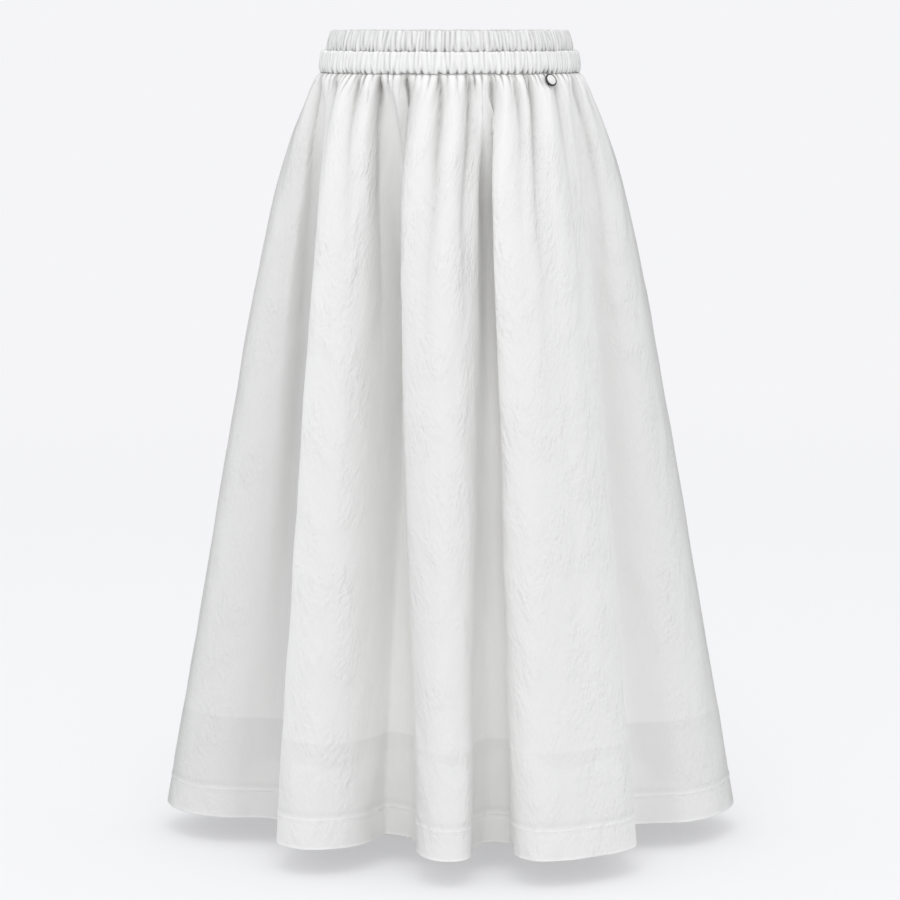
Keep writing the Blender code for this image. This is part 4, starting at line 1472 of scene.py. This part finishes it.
class SKIRT_OT_waistband(bpy.types.Operator):
    """Make the two gathered elastic channels"""

    bl_idname = "skirt.waistband"
    bl_label = "Waistband"

    def execute(self, context):
        sizes, colours = sizes_and_colours(context)
        material = cloth_material("band cloth", colours.band, BAND_LOOK)
        folds = gather_folds(sizes.seed + len(CHANNELS))
        for seed, channel in enumerate(CHANNELS, sizes.seed):
            piece = make_channel(channel, sizes, material, seed, folds + channel.aside)
        return {"FINISHED"}


class SKIRT_OT_panels(bpy.types.Operator):
    """Make the gathered front and back of the skirt with their hem and stitches"""

    bl_idname = "skirt.panels"
    bl_label = "Panels"

    def execute(self, context):
        sizes, colours = sizes_and_colours(context)
        hem_line = SKIRT_DROP - sizes.hem
        material = cloth_material("skirt cloth", colours.cloth, SKIRT_LOOK, hem_line)
        thread = plain_material("thread", colours.thread, THREAD_FINISH)
        seams = (("hem", hem_line + HEM_GROOVE_BELOW), ("waist", WAIST_STITCH_DROP))
        for seed, (side, start) in enumerate(zip(SIDES, PANEL_STARTS), sizes.seed + len(CHANNELS)):
            piece = make_panel(f"panel_{side}", f"{side}_panel", start, sizes, material, seed)
            for seam, drop in seams:
                line = panel_row(piece, drop)
                name = f"stitches_{seam}_{side}"
                make_stitches(name, line, sizes.stitch, thread)
        return {"FINISHED"}


class SKIRT_OT_linings(bpy.types.Operator):
    """Make the front and back of the lining"""

    bl_idname = "skirt.linings"
    bl_label = "Linings"

    def execute(self, context):
        sizes, colours = sizes_and_colours(context)
        material = cloth_material("lining cloth", colours.lining, LINING_LOOK)
        for side, start in zip(SIDES, PANEL_STARTS):
            name = f"lining_{side}_cloth"
            piece = make_lining(name, f"lining_{side}", start, sizes, material)
        return {"FINISHED"}


class SKIRT_OT_charm(bpy.types.Operator):
    """Make the small charm under the waistband"""

    bl_idname = "skirt.charm"
    bl_label = "Charm"

    def execute(self, context):
        sizes, colours = sizes_and_colours(context)
        make_cup(sizes.charm, plain_material("dark metal", colours.metal, METAL_FINISH))
        make_dome(sizes.charm, plain_material("white enamel", colours.enamel, ENAMEL_FINISH))
        return {"FINISHED"}


class SKIRT_PT_sidebar(bpy.types.Panel):
    """Lists the skirt's sizes, colours and pieces"""

    bl_label = "Gathered Maxi Skirt"
    bl_space_type = "VIEW_3D"
    bl_region_type = "UI"
    bl_category = "Skirt"

    def draw(self, context):
        for group in sizes_and_colours(context):
            box = self.layout.box()
            for key in group.bl_rna.properties.keys():
                if key not in ("rna_type", "name"):
                    box.prop(group, key)
        for operator in OPERATORS:
            self.layout.operator(operator.bl_idname)


OPERATORS = (
    SKIRT_OT_stage,
    SKIRT_OT_waistband,
    SKIRT_OT_panels,
    SKIRT_OT_linings,
    SKIRT_OT_charm,
)
CLASSES = (SkirtSizes, SkirtColours, *OPERATORS, SKIRT_PT_sidebar)


def register():
    """Adds the classes and the scene's sizes and colours."""
    for cls in CLASSES:
        bpy.utils.register_class(cls)
    bpy.types.Scene.skirt_sizes = PointerProperty(type=SkirtSizes)
    bpy.types.Scene.skirt_colours = PointerProperty(type=SkirtColours)


def unregister():
    """Takes them away again."""
    del bpy.types.Scene.skirt_colours
    del bpy.types.Scene.skirt_sizes
    for cls in reversed(CLASSES):
        bpy.utils.unregister_class(cls)


def main():
    """Makes every piece in order."""
    register()
    for operator in OPERATORS:
        group, name = operator.bl_idname.split(".")
        getattr(getattr(bpy.ops, group), name)()


if __name__ == "__main__":
    main()
